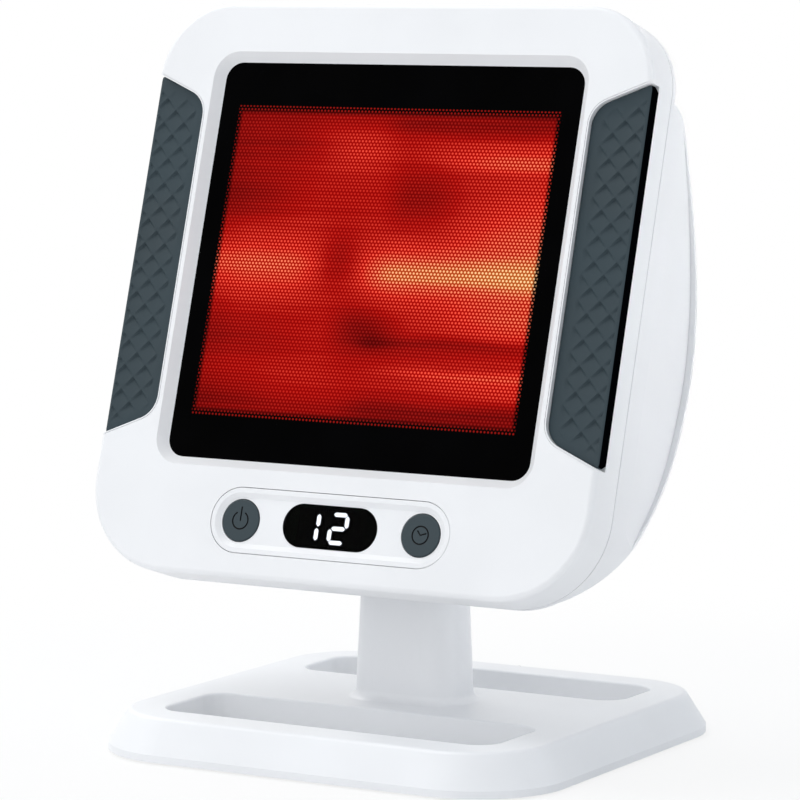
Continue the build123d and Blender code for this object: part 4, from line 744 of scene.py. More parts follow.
@dataclass(frozen=True)
class HeatWindowFinish:
    """Black ceramic glass with a dotted window whose glow is painted light: emission on the glass
    stands in for the heater shining through.
    """

    name: str = "ceramic_heat_glass"
    glass: Colour = (0.0005, 0.0005, 0.0006)
    glass_swing: float = 2.0
    glass_depth: float = 0.0000008
    strength: float = 1.25
    left: float = -70.3
    right: float = 70.3
    top: float = 61.3
    bottom: float = -61.8
    pitch: float = 1.5
    row: float = 1.3
    level: float = 0.43
    sway: float = 5.0
    sway_grain: Point = (0.02, 0.11)
    streak: float = 0.12
    streak_grain: Point = (0.012, 0.42)
    side_blur: float = 0.4
    end_blur: float = 0.2
    end_fringe: Point = (1.2, 4.2)
    left_fringe: Point = (0.6, 2.4)
    right_fringe: Point = (0.6, 2.0)
    fringe_level: float = 0.62
    # emission colours of the painted glow, between the dots and on them, by glow level
    ground: Stops = (
        (0.00, (0.007, 0.0001, 0.0001)),
        (0.22, (0.085, 0.0002, 0.0002)),
        (0.42, (0.250, 0.0004, 0.0003)),
        (0.55, (0.345, 0.0008, 0.0004)),
        (0.70, (0.360, 0.0070, 0.0008)),
        (0.85, (0.390, 0.0550, 0.0060)),
        (1.00, (0.440, 0.1300, 0.0160)))
    lit: Stops = (
        (0.00, (0.040, 0.0030, 0.0030)),
        (0.22, (0.200, 0.0050, 0.0040)),
        (0.42, (0.480, 0.0140, 0.0080)),
        (0.55, (0.870, 0.0800, 0.0450)),
        (0.70, (0.980, 0.2450, 0.1250)),
        (0.85, (1.000, 0.5400, 0.2500)),
        (1.00, (1.000, 0.7400, 0.3900)))

    def material(self, effects: EffectLibrary) -> Material:
        """Build the material.

        Args:
            effects: The shared effects.

        Returns:
            The finished material.
        """
        s = Surface(self.name, effects, Roughness=0.06, Specular_IOR_Level=0.01,
                    Emission_Strength=self.strength)
        face = s.effect(Effect.FACE_PLACE)
        across, up = face["Across"], face["Up"]
        grain = s.effect(Effect.GRAIN, Grain=1200.0, Unevenness=35.0)
        glow_level = self.warmth(s, across, up)
        dot = s.effect(Effect.DOTS, Across=across, Up=up, Pitch=self.pitch, Row=self.row)["Dot"]
        # painted glow: the glass itself emits the heater's light, dimmer between the dots and
        # brighter on them
        glow = s.blend(dot, s.look_up(glow_level, self.ground), s.look_up(glow_level, self.lit))
        glass = s.blend(grain["Tone"], self.glass, darker(self.glass, self.glass_swing))
        return s.show(Base_Color=glass, Normal=s.relief(grain["Height"], self.glass_depth),
                      Emission_Color=s.blend(self.mask(s, across, up, dot), (0.0, 0.0, 0.0), glow))

    def warmth(self, s: Surface, across: Socket, up: Socket) -> Socket:
        """Add up the bars of painted light and painted shade and some fine level streaks of painted
        glow.

        Args:
            s: The material's tree.
            across: Place across the glass.
            up: Place up the glass.

        Returns:
            The level of the painted glow, about 0 to 1.
        """
        def cloud(grain: Point, **fineness: float) -> Socket:
            """Noise round 0, with its own grain across and up."""
            place = s.flat(s.product(across, grain[0]), s.product(up, grain[1]))
            return s.calc("SUBTRACT", s.noise(place, 1.0, **fineness), 0.5)

        bent = s.calc("MULTIPLY_ADD", cloud(self.sway_grain), self.sway, up)
        streaks = cloud(self.streak_grain, detail=4.0, roughness=0.6)
        glow_level = s.calc("MULTIPLY_ADD", streaks, self.streak, self.level)
        for band in GlowBand:
            bar = {name.title(): value for name, value in asdict(band.value).items()}
            glow = s.effect(Effect.WARM_BAR, Across=across, Up=bent, **bar)["Glow"]
            glow_level = s.calc("ADD", glow_level, glow)
        return glow_level

    def mask(self, s: Surface, across: Socket, up: Socket, dot: Socket) -> Socket:
        """Limit the glow to the window, with its outer rows of dots printed smaller.

        Args:
            s: The material's tree.
            across: Place across the glass.
            up: Place up the glass.
            dot: The dots.

        Returns:
            How much of the glow shows.
        """
        def inside(value: Socket, edge: float, near: float, far: float) -> Socket:
            """Rise from 0 to 1 between two distances inside an edge."""
            inward = -1.0 if edge > 0.0 else 1.0
            return s.ramp(value, edge + inward * near, edge + inward * far)

        ends = s.product(*(inside(up, edge, *self.end_fringe) for edge in (self.top, self.bottom)))
        sides = s.product(inside(across, self.left, *self.left_fringe),
                          inside(across, self.right, *self.right_fringe))
        shown = s.calc("MAXIMUM", s.product(ends, sides), s.product(dot, self.fringe_level))
        return s.product(shown, *(
            inside(value, edge, -blur, blur) for value, edge, blur in (
                (across, self.left, self.side_blur), (across, self.right, self.side_blur),
                (up, self.top, self.end_blur), (up, self.bottom, self.end_blur))))


class Finish(Enum):
    """The finishes of the lamp's surfaces."""

    CASING_WHITE = MouldedFinish(
        "casing_white", (0.862, 0.864, 0.875), roughness=0.42, swing=0.04, grain=2600.0,
        depth=0.000005, dust=0.01)
    GLOSS_WHITE = MouldedFinish(
        "gloss_white", (0.86, 0.865, 0.88), roughness=0.36, swing=0.03, grain=1400.0,
        depth=0.000002, dust=0.0, rubs=0.04)
    PANEL_WHITE = MouldedFinish(
        "panel_white", (0.865, 0.868, 0.88), roughness=0.35, swing=0.04, grain=2600.0,
        depth=0.000005)
    GRIP = MouldedFinish(
        "grip", (0.036, 0.054, 0.064), roughness=0.62, swing=0.06, grain=3200.0, depth=0.00001,
        shade=0.85, dust=0.0, specular=0.22)
    # near-black copy of the grip colour for the grip's side faces: painted shade
    GRIP_SIDE = MouldedFinish(
        "grip_side", (0.0008, 0.001, 0.0015), roughness=0.7, grain=3200.0, shade=0.85, dust=0.0,
        specular=0.0)
    FOOT_RUBBER = MouldedFinish(
        "foot_rubber", (0.03, 0.03, 0.03), roughness=0.75, grain=3000.0, depth=0.00001, shade=0.8)
    BUTTON_SLATE = MouldedFinish(
        "button_slate", (0.037, 0.054, 0.063), roughness=0.5, grain=3000.0, depth=0.000005,
        shade=0.9, dust=0.0, specular=0.25)
    # near-black copy of the button slate for the sunk sign: painted shade in the grooves
    BUTTON_GROOVE = MouldedFinish(
        "button_groove", (0.0012, 0.002, 0.003), roughness=0.55, grain=3000.0, depth=0.000004,
        shade=0.9, specular=0.2)
    BLACK_PLASTIC = MouldedFinish(
        "black_plastic", (0.012, 0.012, 0.013), roughness=0.45, swing=0.06, grain=2200.0, shade=0.8)
    DISPLAY_BLACK = MouldedFinish(
        "display_black", (0.001, 0.001, 0.001), roughness=0.6, grain=2200.0, depth=0.000004,
        shade=0.8, dust=0.0, specular=0.05)
    BEARING_PLASTIC = MouldedFinish(
        "bearing_plastic", (0.12, 0.12, 0.13), roughness=0.35, grain=1800.0, depth=0.000004,
        shade=0.9)
    SILICONE = MouldedFinish(
        "silicone", (0.30, 0.06, 0.04), roughness=0.55, grain=2200.0, shade=0.85)
    CERAMIC_WHITE = MouldedFinish(
        "ceramic_white", (0.78, 0.76, 0.70), roughness=0.5, swing=0.07, grain=1500.0,
        depth=0.00001, shade=0.9)
    STEEL = MetalFinish("zinc_steel", (0.62, 0.63, 0.64), (0.48, 0.49, 0.5))
    BRIGHT_ALUMINIUM = MetalFinish(
        "bright_aluminium", (0.88, 0.88, 0.87), (0.78, 0.78, 0.78), roughness=0.14, swing=0.05,
        lines=500.0)
    DARK_LENS = ClearFinish(
        "smoked_lens", (0.12, 0.12, 0.125), (0.11, 0.11, 0.115), roughness=0.03, ior=1.1,
        specular=0.05)
    QUARTZ = ClearFinish("ruby_quartz", (0.75, 0.12, 0.06), (0.65, 0.08, 0.05))
    TUNGSTEN = HotFinish(
        "hot_tungsten", (0.3, 0.2, 0.15), (1.0, 0.42, 0.1), (0.95, 0.28, 0.05), strength=4.0)
    LED_WHITE = HotFinish(
        "lit_digits", (0.85, 0.88, 0.9), (0.95, 0.98, 1.0), (0.88, 0.93, 1.0), strength=11.0)
    CIRCUIT_BOARD = BoardFinish()
    CERAMIC_GLASS = HeatWindowFinish()


class Finishes:
    """Builds the material of each finish once."""

    def __init__(self) -> None:
        """Start with no material built."""
        self.effects = EffectLibrary()
        self.made: dict[Finish, Material] = {}

    def get(self, finish: Finish) -> Material:
        """Find the material of a finish, which is built when it is first asked for.

        Args:
            finish: The finish.

        Returns:
            Its material.
        """
        if finish not in self.made:
            self.made[finish] = finish.value.material(self.effects)
        return self.made[finish]


# ---------------------------------------------------------------- dressed sub-assemblies
def mesh_piece(name: str, mesh: Mesh, materials: Sequence[Material],
               sharp_deg: float = 30.0) -> Piece:
    """Turn a bmesh into an object of the scene.

    Args:
        name: Name of the piece.
        mesh: The bmesh, which is freed.
        materials: Its materials, in slot order.
        sharp_deg: Edges steeper than this stay sharp.

    Returns:
        The new object.
    """
    bmesh.ops.recalc_face_normals(mesh, faces=mesh.faces)
    data = bpy.data.meshes.new(name)
    mesh.to_mesh(data)
    mesh.free()
    for material in materials:
        data.materials.append(material)
    data.shade_smooth()
    data.set_sharp_from_angle(angle=math.radians(sharp_deg))
    piece = bpy.data.objects.new(name, data)
    bpy.context.scene.collection.objects.link(piece)
    return piece


@dataclass
class Assembly:
    """A sub-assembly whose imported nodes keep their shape, with the nodes of each finish."""

    plan: dict[Finish, tuple[str, ...]] = field(default_factory=dict)

    def build(self, frame: dict, finishes: Finishes) -> None:
        """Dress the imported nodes.

        Args:
            finishes: The materials.
        """
        for finish, nodes in self.plan.items():
            for node in nodes:
                slots = frame["nodes"][node].data.materials
                slots.clear()
                slots.append(finishes.get(finish))
                LOG.info("%s wears %s", node, finish.name.lower())


@dataclass
class Stand(Assembly):
    """Base, neck, foot plate and cord inlet."""

    plan: dict[Finish, tuple[str, ...]] = field(default_factory=lambda: {
        Finish.GLOSS_WHITE: ("stand_shell", "neck_post", "base_plate"),
        Finish.FOOT_RUBBER: ("base_feet",),
        Finish.STEEL: ("base_screws",),
        Finish.BLACK_PLASTIC: ("cord_inlet",),
        Finish.BEARING_PLASTIC: ("hinge_bush",)})


@dataclass
class HeadCasing(Assembly):
    """Front cover, rear shell and the screws that hold them."""

    plan: dict[Finish, tuple[str, ...]] = field(default_factory=lambda: {
        Finish.CASING_WHITE: ("front_cover", "rear_shell"),
        Finish.STEEL: ("head_screws",)})


@dataclass
class HeatWindow(Assembly):
    """Glass front, its seal and clamp, and the lamp behind it."""

    plan: dict[Finish, tuple[str, ...]] = field(default_factory=lambda: {
        Finish.CERAMIC_GLASS: ("glass_panel",),
        Finish.SILICONE: ("glass_seal",),
        Finish.STEEL: ("glass_clamp", "clamp_screws", "lamp_housing"),
        Finish.BRIGHT_ALUMINIUM: ("reflector",),
        Finish.QUARTZ: ("quartz_tube",),
        Finish.TUNGSTEN: ("filament",),
        Finish.CERAMIC_WHITE: ("tube_caps", "tube_sockets"),
        Finish.BLACK_PLASTIC: ("thermal_cutout",)})


@dataclass
class Works(Assembly):
    """Chassis, hinge, fan and mains board behind the lamp box."""

    plan: dict[Finish, tuple[str, ...]] = field(default_factory=lambda: {
        Finish.STEEL: ("chassis_plate", "chassis_screws", "hinge_bracket", "hinge_pin",
                       "disc_springs", "hinge_nut", "fan_screws", "board_standoffs",
                       "board_screws"),
        Finish.BEARING_PLASTIC: ("friction_collars",),
        Finish.BLACK_PLASTIC: ("fan_frame", "fan_rotor", "mains_parts"),
        Finish.CIRCUIT_BOARD: ("mains_board",)})


# ---------------------------------------------------------------- grips
class Side(Enum):
    """The two sides of the head."""

    RIGHT = 1
    LEFT = -1


def ease(value: float) -> float:
    """Step smoothly from 0 to 1."""
    value = min(1.0, max(0.0, value))
    return value * value * (3 - 2 * value)


@dataclass
class SideGrip:
    """A soft side grip whose face is cut with rows of slanting diamond facets, in mm."""

    side: Side
    inner: float = 84.5
    outer: float = 107.5
    half_height: float = 62.5
    tip: float = 72.3
    corner: float = 10.0
    corner_steps: int = 12
    tip_run: float = 1.2
    tip_shoulder: Point = (0.35, 0.75)
    tip_drop: float = 2.2
    face: float = 1.94
    back: float = -1.06
    side_back: float = -3.3
    side_thick: float = 2.4
    side_strip: float = 0.5
    side_facing: float = 0.6
    rim: float = 0.5
    run_rim: float = 0.7
    shoulder_rim: float = 1.0
    outer_rim: float = 1.3
    rim_steps: int = 4
    mitre_limit: float = 0.5
    half_width: float = 4.65
    half_pitch: float = 4.875
    half_rows: int = 8
    columns: tuple[float, ...] = (84.34, 88.99, 93.64, 98.29, 102.94, 107.59)
    field_left: float = 88.1
    field_right: float = 106.1
    end_margin: float = 1.9
    left_fade: float = 2.4
    right_fade: float = 0.5
    end_fade: float = 5.5
    sink: float = 1.35
    curve: float = 0.8
    brow: float = 0.13
    cuts: tuple[float, ...] = (0.0, 0.12, 0.27, 0.44, 0.62, 0.77, 0.87, 0.935, 1.0)
    cut_slack: float = 1e-6
    weld: float = 0.001
    sliver: float = 0.0001
    hair: float = 0.01
    sharp_deg: float = 18.0

    @property
    def rise(self) -> float:
        """Slope of the slanting top and bottom edges."""
        return (self.tip - self.half_height) / (self.outer - self.inner)

    def outline(self) -> list[Place]:
        """Give the outline of the grip from the front, clockwise from its inner side.

        Returns:
            Points as across, up and the radius of the rim there.
        """
        bend = math.pi / 2 - math.atan(self.rise)
        reach = self.corner * math.tan(bend / 2)
        points: list[Place] = []
        for sign in (1, -1):
            run = []
            for step in range(self.corner_steps + 1):
                angle = math.pi - bend * step / self.corner_steps
                run.append((self.inner + self.corner + self.corner * math.cos(angle),
                            sign * (self.half_height - reach)
                            + sign * self.corner * math.sin(angle), self.rim))
            aside, below = self.tip_shoulder
            run += [(self.outer - self.tip_run, sign * (self.tip - self.tip_run * self.rise),
                     self.run_rim),
                    (self.outer - aside, sign * (self.tip - below), self.shoulder_rim),
                    (self.outer, sign * (self.tip - self.tip_drop), self.outer_rim)]
            points += run if sign == 1 else run[::-1]
        return points

    def inset(self, points: Sequence[Place], share: float) -> list[Point]:
        """Move an outline inward by a share of each point's own rim radius.

        Args:
            points: The outline.
            share: Share of the rim radius.

        Returns:
            The moved points.
        """
        moved = []
        for i, (x, y, radius) in enumerate(points):
            here = Vector((x, y))
            one = (here - Vector(points[i - 1][:2])).normalized()
            two = (Vector(points[(i + 1) % len(points)][:2]) - here).normalized()
            inward = Vector((one.y + two.y, -one.x - two.x)).normalized()
            stretch = 1.0 / max(self.mitre_limit, inward.dot(Vector((one.y, -one.x))))
            step = inward * radius * share * stretch
            moved.append((x + step.x, y + step.y))
        return moved

    def sink_at(self, x: float, y: float, p: float, q: float) -> float:
        """Depth of a facet at a point.

        Args:
            x: Place across.
            y: Place up.
            p: Share of the way from the facet's lower left edge to its upper right edge.
            q: Share of the way from its lower right edge to its upper left edge.

        Returns:
            How far the facet lies under the face, which is nothing on all its edges.
        """
        def slope(share: float) -> float:
            """Long ramp down and a short steep brow."""
            return share ** self.curve * min(1.0, (1.0 - share) / self.brow)

        edge = self.half_height + (x - self.inner) * self.rise
        end_gap = (edge - abs(y)) / math.hypot(1.0, self.rise) - self.end_margin
        fade = ease((x - self.field_left) / self.left_fade)
        fade *= ease((self.field_right - x) / self.right_fade) * ease(end_gap / self.end_fade)
        return self.sink * fade * slope(p) * slope(q)

    def facets(self, mesh: Mesh) -> None:
        """Add the diamond facets, cut off at the edge of their field.

        Args:
            mesh: The bmesh, worked in millimetres of the grip's own plan.
        """
        a, b = self.half_width, self.half_pitch
        for column, centre_x in enumerate(self.columns):
            for row in range(-self.half_rows, self.half_rows + 1):
                centre_y = 2 * b * row + (b if column % 2 else 0.0)
                grid = []
                for p in self.cuts:
                    spots = [(centre_x + a * (p - q), centre_y + b * (p + q - 1), q)
                             for q in self.cuts]
                    grid.append([mesh.verts.new((x, y, self.face - self.sink_at(x, y, p, q)))
                                 for x, y, q in spots])
                for near, far in zip(grid[:-1], grid[1:]):
                    for j in range(len(self.cuts) - 1):
                        mesh.faces.new((near[j], far[j], far[j + 1], near[j + 1]))
        end = self.half_height - self.end_margin * math.hypot(1.0, self.rise)
        for point, away in (((self.field_left, 0), (-1, 0)), ((self.field_right, 0), (1, 0)),
                            ((self.inner, end), (-self.rise, 1)),
                            ((self.inner, -end), (-self.rise, -1))):
            bmesh.ops.bisect_plane(
                mesh, geom=mesh.verts[:] + mesh.edges[:] + mesh.faces[:], dist=self.cut_slack,
                plane_co=(*point, 0), plane_no=(*away, 0), clear_outer=True)
        bmesh.ops.remove_doubles(mesh, verts=mesh.verts, dist=self.weld)
        bmesh.ops.dissolve_degenerate(mesh, dist=self.sliver, edges=mesh.edges)
        for vertex in {one for edge in mesh.edges if edge.is_boundary for one in edge.verts}:
            vertex.co.z = self.face

    def body(self, mesh: Mesh) -> None:
        """Add the rounded rim, the sides and the back round the facets, and join them up.

        Args:
            mesh: The bmesh with the facets.
        """
        border = [edge for edge in mesh.edges if edge.is_boundary]
        outline = self.outline()
        rows: list[list[Vert]] = []
        for step in range(self.rim_steps + 1):
            angle = math.pi / 2 * step / self.rim_steps
            ring = self.inset(outline, 1 - math.sin(angle))
            rows.append([mesh.verts.new((x, y, self.face - radius * (1 - math.cos(angle))))
                         for (x, y), (_, _, radius) in zip(ring, outline)])
        rows.append([mesh.verts.new((x, y, self.side_back if x > self.outer - self.hair
                                     else self.back)) for x, y, _ in outline])
        count = len(outline)
        for near, far in zip(rows[:-1], rows[1:]):
            for i in range(count):
                k = (i + 1) % count
                mesh.faces.new((near[i], near[k], far[k], far[i]))
        rim = [mesh.edges.get((rows[0][i], rows[0][(i + 1) % count])) for i in range(count)]
        bmesh.ops.triangle_fill(mesh, edges=border + rim, use_beauty=True, normal=(0, 0, 1))
        self.close_back(mesh, rows[-1])

    def close_back(self, mesh: Mesh, ring: Sequence[Vert]) -> None:
        """Close the back of the grip, stepping down to the strip along the side.

        Args:
            mesh: The bmesh.
            ring: The last ring of the outline, whose two outermost points are in its middle.
        """
        last = len(ring) // 2 - 1
        high_end, low_end = ring[last], ring[last + 1]
        flat = [*ring[last - 1::-1], *ring[:last + 1:-1]]
        inner_x = self.outer - self.side_thick
        (high_in, high_up, high_out), (low_in, low_up, low_out) = (
            [mesh.verts.new((x, end.co.y, z)) for x, z in (
                (inner_x, self.side_back), (inner_x, self.back), (end.co.x, self.back))]
            for end in (high_end, low_end))
        for corners in ((high_end, low_end, low_in, high_in), (high_in, low_in, low_up, high_up),
                        (high_end, high_in, high_up, high_out), (low_end, low_out, low_up, low_in),
                        (high_up, high_out, *flat, low_out, low_up),
                        (high_end, high_out, flat[0]), (low_end, low_out, flat[-1])):
            mesh.faces.new(corners)

    def build(self, finishes: Finishes) -> Piece:
        """Build the grip in place of its plain node.

        Args:
            finishes: The materials.

        Returns:
            The finished piece.
        """
        mesh = bmesh.new()
        self.facets(mesh)
        self.body(mesh)
        mesh.normal_update()
        # faces on the outer side strip that face sideways take the near-black copy of the grip:
        # painted shade
        for part in mesh.faces:
            on_strip = part.calc_center_median().x > self.outer - self.side_strip
            part.material_index = int(on_strip and abs(part.normal.x) > self.side_facing)
        for vertex in mesh.verts:
            x, y, z = vertex.co
            vertex.co = HEAD.point(self.side.value * x, y, z)
        node = f"{self.side.name.lower()}_grip"
        materials = [finishes.get(finish) for finish in (Finish.GRIP, Finish.GRIP_SIDE)]
        piece = mesh_piece(f"{node}_facets", mesh, materials, self.sharp_deg)
        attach(piece, "head")
        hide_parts(node)
        return piece


# ---------------------------------------------------------------- buttons and panel
@dataclass(frozen=True)
class Sign:
    """A sign in mm from the middle of its button: part of a ring, in degrees from straight up,
    and one bent stroke."""

    start_deg: float
    end_deg: float
    steps: int
    whole: bool
    stroke: tuple[Point, ...]


class Mark(Enum):
    """The signs pressed into the button caps."""

    POWER = Sign(33.0, 327.0, 48, False, ((0.0, 0.0), (0.0, 2.6), (0.0, 5.0)))
    CLOCK = Sign(0.0, 354.0, 59, True, ((-1.25, 1.55), (0.0, 0.0), (2.3, 0.75)))


@dataclass
class ButtonCap:
    """A button cap with its sign sunk in the top, in mm."""

    node: str
    mark: Mark
    across: float
    up: float = -101.7
    top: float = 3.14
    groove: float = 0.58
    depth: float = 0.45
    radius: float = 3.35
    end_steps: int = 6
    above: float = 1.0
    skin: float = 0.02
    floor_slack: float = 0.05
    sign_reach: float = 6.5
    weld: float = 1e-7
    sharp_deg: float = 32.0
    flatness: float = 0.9999

    def solid(self, mesh: Mesh, *outlines: Sequence[Point]) -> None:
        """Add an upright solid on an outline, or a ring between two.

        Args:
            mesh: The cutter bmesh, in metres.
            outlines: The closed outline, or the outer and the inner one of a ring.
        """
        low, high, *inner = [
            [mesh.verts.new(HEAD.point(self.across + x, self.up + y, level)) for x, y in loop]
            for loop in outlines for level in (self.top - self.depth, self.top + self.above)]
        if inner:
            rows = (low, high, inner[1], inner[0], low)
        else:
            rows = (low, high)
            mesh.faces.new(low)
            mesh.faces.new(high[::-1])
        for i in range(len(low)):
            k = (i + 1) % len(low)
            for one, two in zip(rows[:-1], rows[1:]):
                mesh.faces.new((one[i], two[i], two[k], one[k]))

    def stroke(self, mesh: Mesh, path: Sequence[Point], closed: bool = False) -> None:
        """Add a solid round-ended stroke to cut with.

        Args:
            mesh: The cutter bmesh, in metres.
            path: Points of the stroke's middle line, from the middle of the button.
            closed: Whether the stroke is a ring.
        """
        half = self.groove / 2
        left, right = [], []
        count = len(path)
        for i, (x, y) in enumerate(path):
            before = path[i - 1] if closed or i else path[i]
            after = path[(i + 1) % count] if closed or i < count - 1 else path[i]
            along = Vector((after[0] - before[0], after[1] - before[1])).normalized()
            left.append((x - along.y * half, y + along.x * half))
            right.append((x + along.y * half, y - along.x * half))
        if closed:
            self.solid(mesh, left, right)
            return
        turns = [math.pi / 2 * (1 - 2 * step / self.end_steps) for step in range(1, self.end_steps)]
        ends = []
        for end, before in ((path[-1], path[-2]), (path[0], path[1])):
            facing = math.atan2(end[1] - before[1], end[0] - before[0])
            ends.append([(end[0] + half * math.cos(facing + turn),
                          end[1] + half * math.sin(facing + turn)) for turn in turns])
        self.solid(mesh, left + ends[0] + right[::-1] + ends[1])

    def cutter(self) -> Piece:
        """Build the solid that cuts the sign.

        Returns:
            A throw-away object.
        """
        mesh = bmesh.new()
        sign = self.mark.value
        span = sign.end_deg - sign.start_deg
        angles = [math.radians(sign.start_deg + span * i / sign.steps)
                  for i in range(sign.steps + 1)]
        ring = [(self.radius * math.sin(angle), self.radius * math.cos(angle)) for angle in angles]
        self.stroke(mesh, ring, closed=sign.whole)
        self.stroke(mesh, sign.stroke)
        bmesh.ops.recalc_face_normals(mesh, faces=mesh.faces)
        data = bpy.data.meshes.new("cutter")
        mesh.to_mesh(data)
        mesh.free()
        return bpy.data.objects.new("cutter", data)

    def cut(self, piece: Piece) -> None:
        """Cut the sign into a piece and leave it with a plain mesh.

        Args:
            piece: The cap.
        """
        cutter = self.cutter()
        bpy.context.scene.collection.objects.link(cutter)
        welded = bmesh.new()
        welded.from_mesh(piece.data)
        bmesh.ops.remove_doubles(welded, verts=welded.verts, dist=self.weld)
        welded.to_mesh(piece.data)
        welded.free()
        change = piece.modifiers.new("sign", "BOOLEAN")
        change.operation, change.solver, change.object = "DIFFERENCE", "EXACT", cutter
        bpy.context.view_layer.update()
        shown = piece.evaluated_get(bpy.context.evaluated_depsgraph_get())
        data = bpy.data.meshes.new_from_object(shown)
        piece.modifiers.clear()
        piece.data = data
        bpy.data.objects.remove(cutter)

    def build(self, frame: dict, finishes: Finishes) -> Piece:
        """Cut the sign into a copy of the cap, which stands for the plain node.

        Args:
            finishes: The materials.

        Returns:
            The finished piece.
        """
        piece = bpy.data.objects.new(f"{self.node}_cap", frame["nodes"][self.node].data.copy())
        bpy.context.scene.collection.objects.link(piece)
        self.cut(piece)
        data = piece.data
        data.materials.clear()
        for finish in (Finish.BUTTON_SLATE, Finish.BUTTON_GROOVE):
            data.materials.append(finishes.get(finish))
        data.shade_smooth()
        data.set_sharp_from_angle(angle=math.radians(self.sharp_deg))
        normal = (HEAD.point(0, 0, 1) - HEAD.point(0, 0, 0)).normalized()
        middle = HEAD.point(self.across, self.up, self.top)
        # faces sunk in the sign take the near-black copy of the slate: painted shade in the grooves
        for part in data.polygons:
            step = (part.center - middle) / MM
            depth = -step.dot(normal)
            sunk = self.skin < depth < self.depth + self.floor_slack
            near = (step + normal * depth).length < self.sign_reach
            part.material_index = int(sunk and near)
            part.use_smooth = abs(part.normal.dot(normal)) < self.flatness
        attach(piece, self.node)
        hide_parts(self.node)
        return piece


@dataclass
class ControlPanel(Assembly):
    """Oval panel with its display and two buttons."""

    plan: dict[Finish, tuple[str, ...]] = field(default_factory=lambda: {
        Finish.PANEL_WHITE: ("control_panel",),
        Finish.DARK_LENS: ("display_window",),
        Finish.DISPLAY_BLACK: ("display_module",),
        Finish.LED_WHITE: ("display_segments",),
        Finish.CIRCUIT_BOARD: ("control_board",),
        Finish.STEEL: ("control_screws",),
        Finish.BLACK_PLASTIC: ("tact_switches", "board_parts")})
    button_across: float = 39.05

    def build(self, frame: dict, finishes: Finishes) -> None:
        """Dress the panel and build both button caps.

        Args:
            finishes: The materials.
        """
        super().build(frame, finishes)
        for cap in (ButtonCap("power_button", Mark.POWER, -self.button_across),
                    ButtonCap("timer_button", Mark.CLOCK, self.button_across)):
            LOG.info("built %s", cap.build(frame, finishes).name)


# ---------------------------------------------------------------- studio
@dataclass(frozen=True)
class SoftLamp:
    """A square lamp with its place and size in metres, its spread in degrees and its watts."""

    name: str
    place: Place
    power: float
    colour: Colour
    size: float = 1.4
    spread: float = 179.0
    aim: Place = (0.0, 0.0, 0.2)

    def hang(self) -> None:
        """Hang the lamp so that it looks at the head."""
        data = bpy.data.lights.new(self.name, "AREA")
        data.energy, data.size, data.color = self.power, self.size, self.colour
        data.spread = math.radians(self.spread)
        lamp = bpy.data.objects.new(self.name, data)
        lamp.location = self.place
        look = Vector(self.aim) - Vector(self.place)
        lamp.rotation_euler = look.to_track_quat("-Z", "Y").to_euler()
        bpy.context.scene.collection.objects.link(lamp)


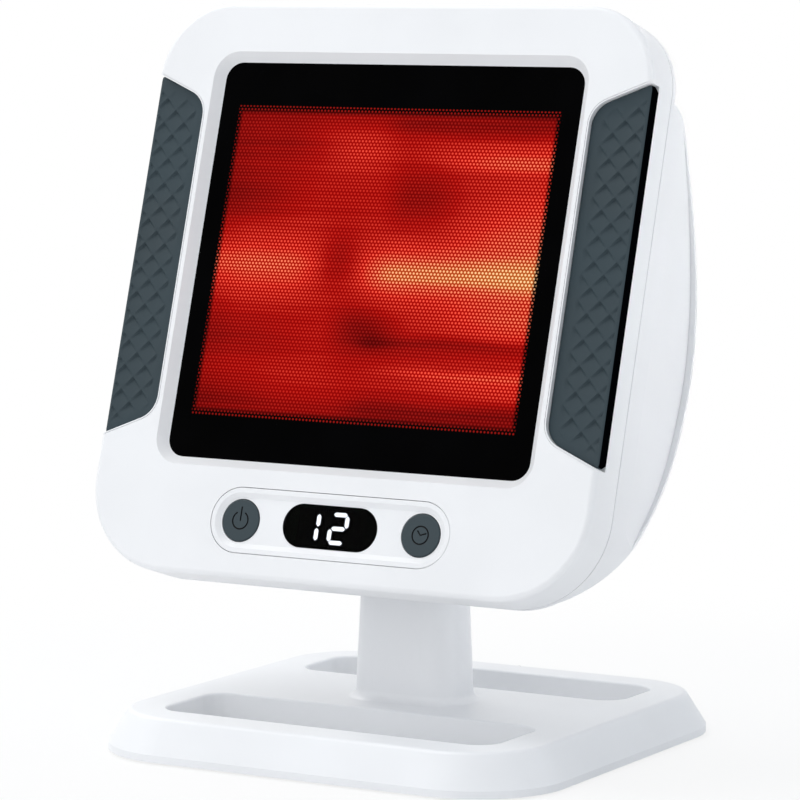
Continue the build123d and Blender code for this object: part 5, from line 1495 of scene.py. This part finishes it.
@dataclass
class Studio:
    """White floor, soft lamps and the camera."""

    lamps: tuple[SoftLamp, ...] = (
        SoftLamp("top_lamp", (-0.9, -0.5, 2.5), 20.5, (1.0, 0.99, 0.97)),
        SoftLamp("key_lamp", (-2.3, -0.9, 2.0), 9.0, (1.0, 0.985, 0.955)),
        SoftLamp("left_lamp", (-1.7, 1.1, 1.9), 14.0, (1.0, 0.985, 0.96)),
        SoftLamp("front_lamp", (0.0, -2.4, 0.9), 13.5, (1.0, 0.985, 0.965)),
        SoftLamp("side_lamp", (1.75, 0.5, 0.45), 0.052, (1.0, 0.985, 0.97), 0.22, 12.0),
        SoftLamp("back_lamp", (1.7, 1.5, 1.3), 7.0, (0.97, 0.985, 1.0), 1.6))
    camera_place: Place = (716.03, -1274.92, 286.67)
    camera_look: Place = (-0.49002, 0.86544, -0.10437)
    camera_roll_deg: float = 0.305
    lens: float = 170.88
    sensor: float = 36.0
    clip: Point = (0.05, 50.0)
    floor_half: float = 12.0
    floor_cells: int = 8
    floor_grain: float = 3.0
    floor_cool: Colour = (0.88, 0.885, 0.89)
    floor_plain: Colour = (0.9, 0.9, 0.9)
    floor_white: float = 0.8
    shadow_near: float = 0.16
    shadow_far: float = 0.42
    sky: float = 0.57
    sky_tint: Colour = (0.87, 0.93, 1.0)

    def build(self) -> None:
        """Build the floor, the sky, the lamps and the camera."""
        self.build_floor()
        self.build_sky()
        for lamp in self.lamps:
            lamp.hang()
        self.build_camera()
        bpy.context.scene.view_settings.view_transform = "Standard"

    def build_floor(self) -> None:
        """Lay a wide floor that shows white and still holds shadows."""
        s = Surface("studio_floor", Roughness=0.9, Specular_IOR_Level=0.0)
        place = s.position()
        material = s.show(Base_Color=s.blend(s.noise(place, self.floor_grain), self.floor_cool,
                                             self.floor_plain))
        away = s.add("ShaderNodeVectorMath", operation="LENGTH")
        s.feed(place, away.inputs[0])
        clear = s.ramp(away.outputs["Value"], self.shadow_near, self.shadow_far, self.floor_white)
        light = s.fill(s.add("ShaderNodeEmission"), Strength=1.0)["Emission"]
        mix = s.add("ShaderNodeMixShader")
        for slot, given in enumerate((s.product(s.surround(), clear), s.shading.outputs["BSDF"],
                                      light)):
            s.feed(given, mix.inputs[slot])
        s.fill(s.output, Surface=mix.outputs[0])
        mesh = bmesh.new()
        bmesh.ops.create_grid(mesh, x_segments=self.floor_cells, y_segments=self.floor_cells,
                              size=self.floor_half)
        mesh_piece("studio_floor", mesh, (material,))

    def build_sky(self) -> None:
        """Make a white surround that lights softly."""
        world = bpy.data.worlds.new("studio_sky")
        world.use_nodes = True
        world.node_tree.nodes.clear()
        w = Wiring(world.node_tree)
        white = w.surround()
        sky = w.fill(w.add("ShaderNodeBackground"),
                     Color=w.blend(white, self.sky_tint, (1.0, 1.0, 1.0)),
                     Strength=w.ramp(white, 0.0, 1.0, self.sky, smooth=False))
        w.fill(w.add("ShaderNodeOutputWorld"), Surface=sky["Background"])
        bpy.context.scene.world = world

    def build_camera(self) -> None:
        """Set the camera."""
        look = Vector(self.camera_look).normalized()
        level = Vector((-look.y, look.x, 0.0)).normalized() * -1.0
        above = level.cross(look)
        roll = math.radians(self.camera_roll_deg)
        right = level * math.cos(roll) + above * math.sin(roll)
        upward = above * math.cos(roll) - level * math.sin(roll)
        data = bpy.data.cameras.new("camera")
        data.lens, data.sensor_width, data.sensor_fit = self.lens, self.sensor, "HORIZONTAL"
        data.clip_start, data.clip_end = self.clip
        camera = bpy.data.objects.new("camera", data)
        turn = Matrix((right, upward, -look)).transposed()
        camera.matrix_world = Matrix.Translation(Vector(self.camera_place) * MM) @ turn.to_4x4()
        bpy.context.scene.collection.objects.link(camera)
        bpy.context.scene.camera = camera


def main() -> None:
    """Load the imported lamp, set the studio, dress the lamp and build its detailed pieces."""
    logging.basicConfig(level=logging.INFO, format="%(name)s: %(message)s")
    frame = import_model()
    Studio().build()
    finishes = Finishes()
    for assembly in (Stand(), HeadCasing(), HeatWindow(), ControlPanel(), Works()):
        assembly.build(frame, finishes)
        LOG.info("built %s", type(assembly).__name__)
    for side in Side:
        LOG.info("built %s", SideGrip(side).build(finishes).name)


if __name__ == "__main__":
    main()
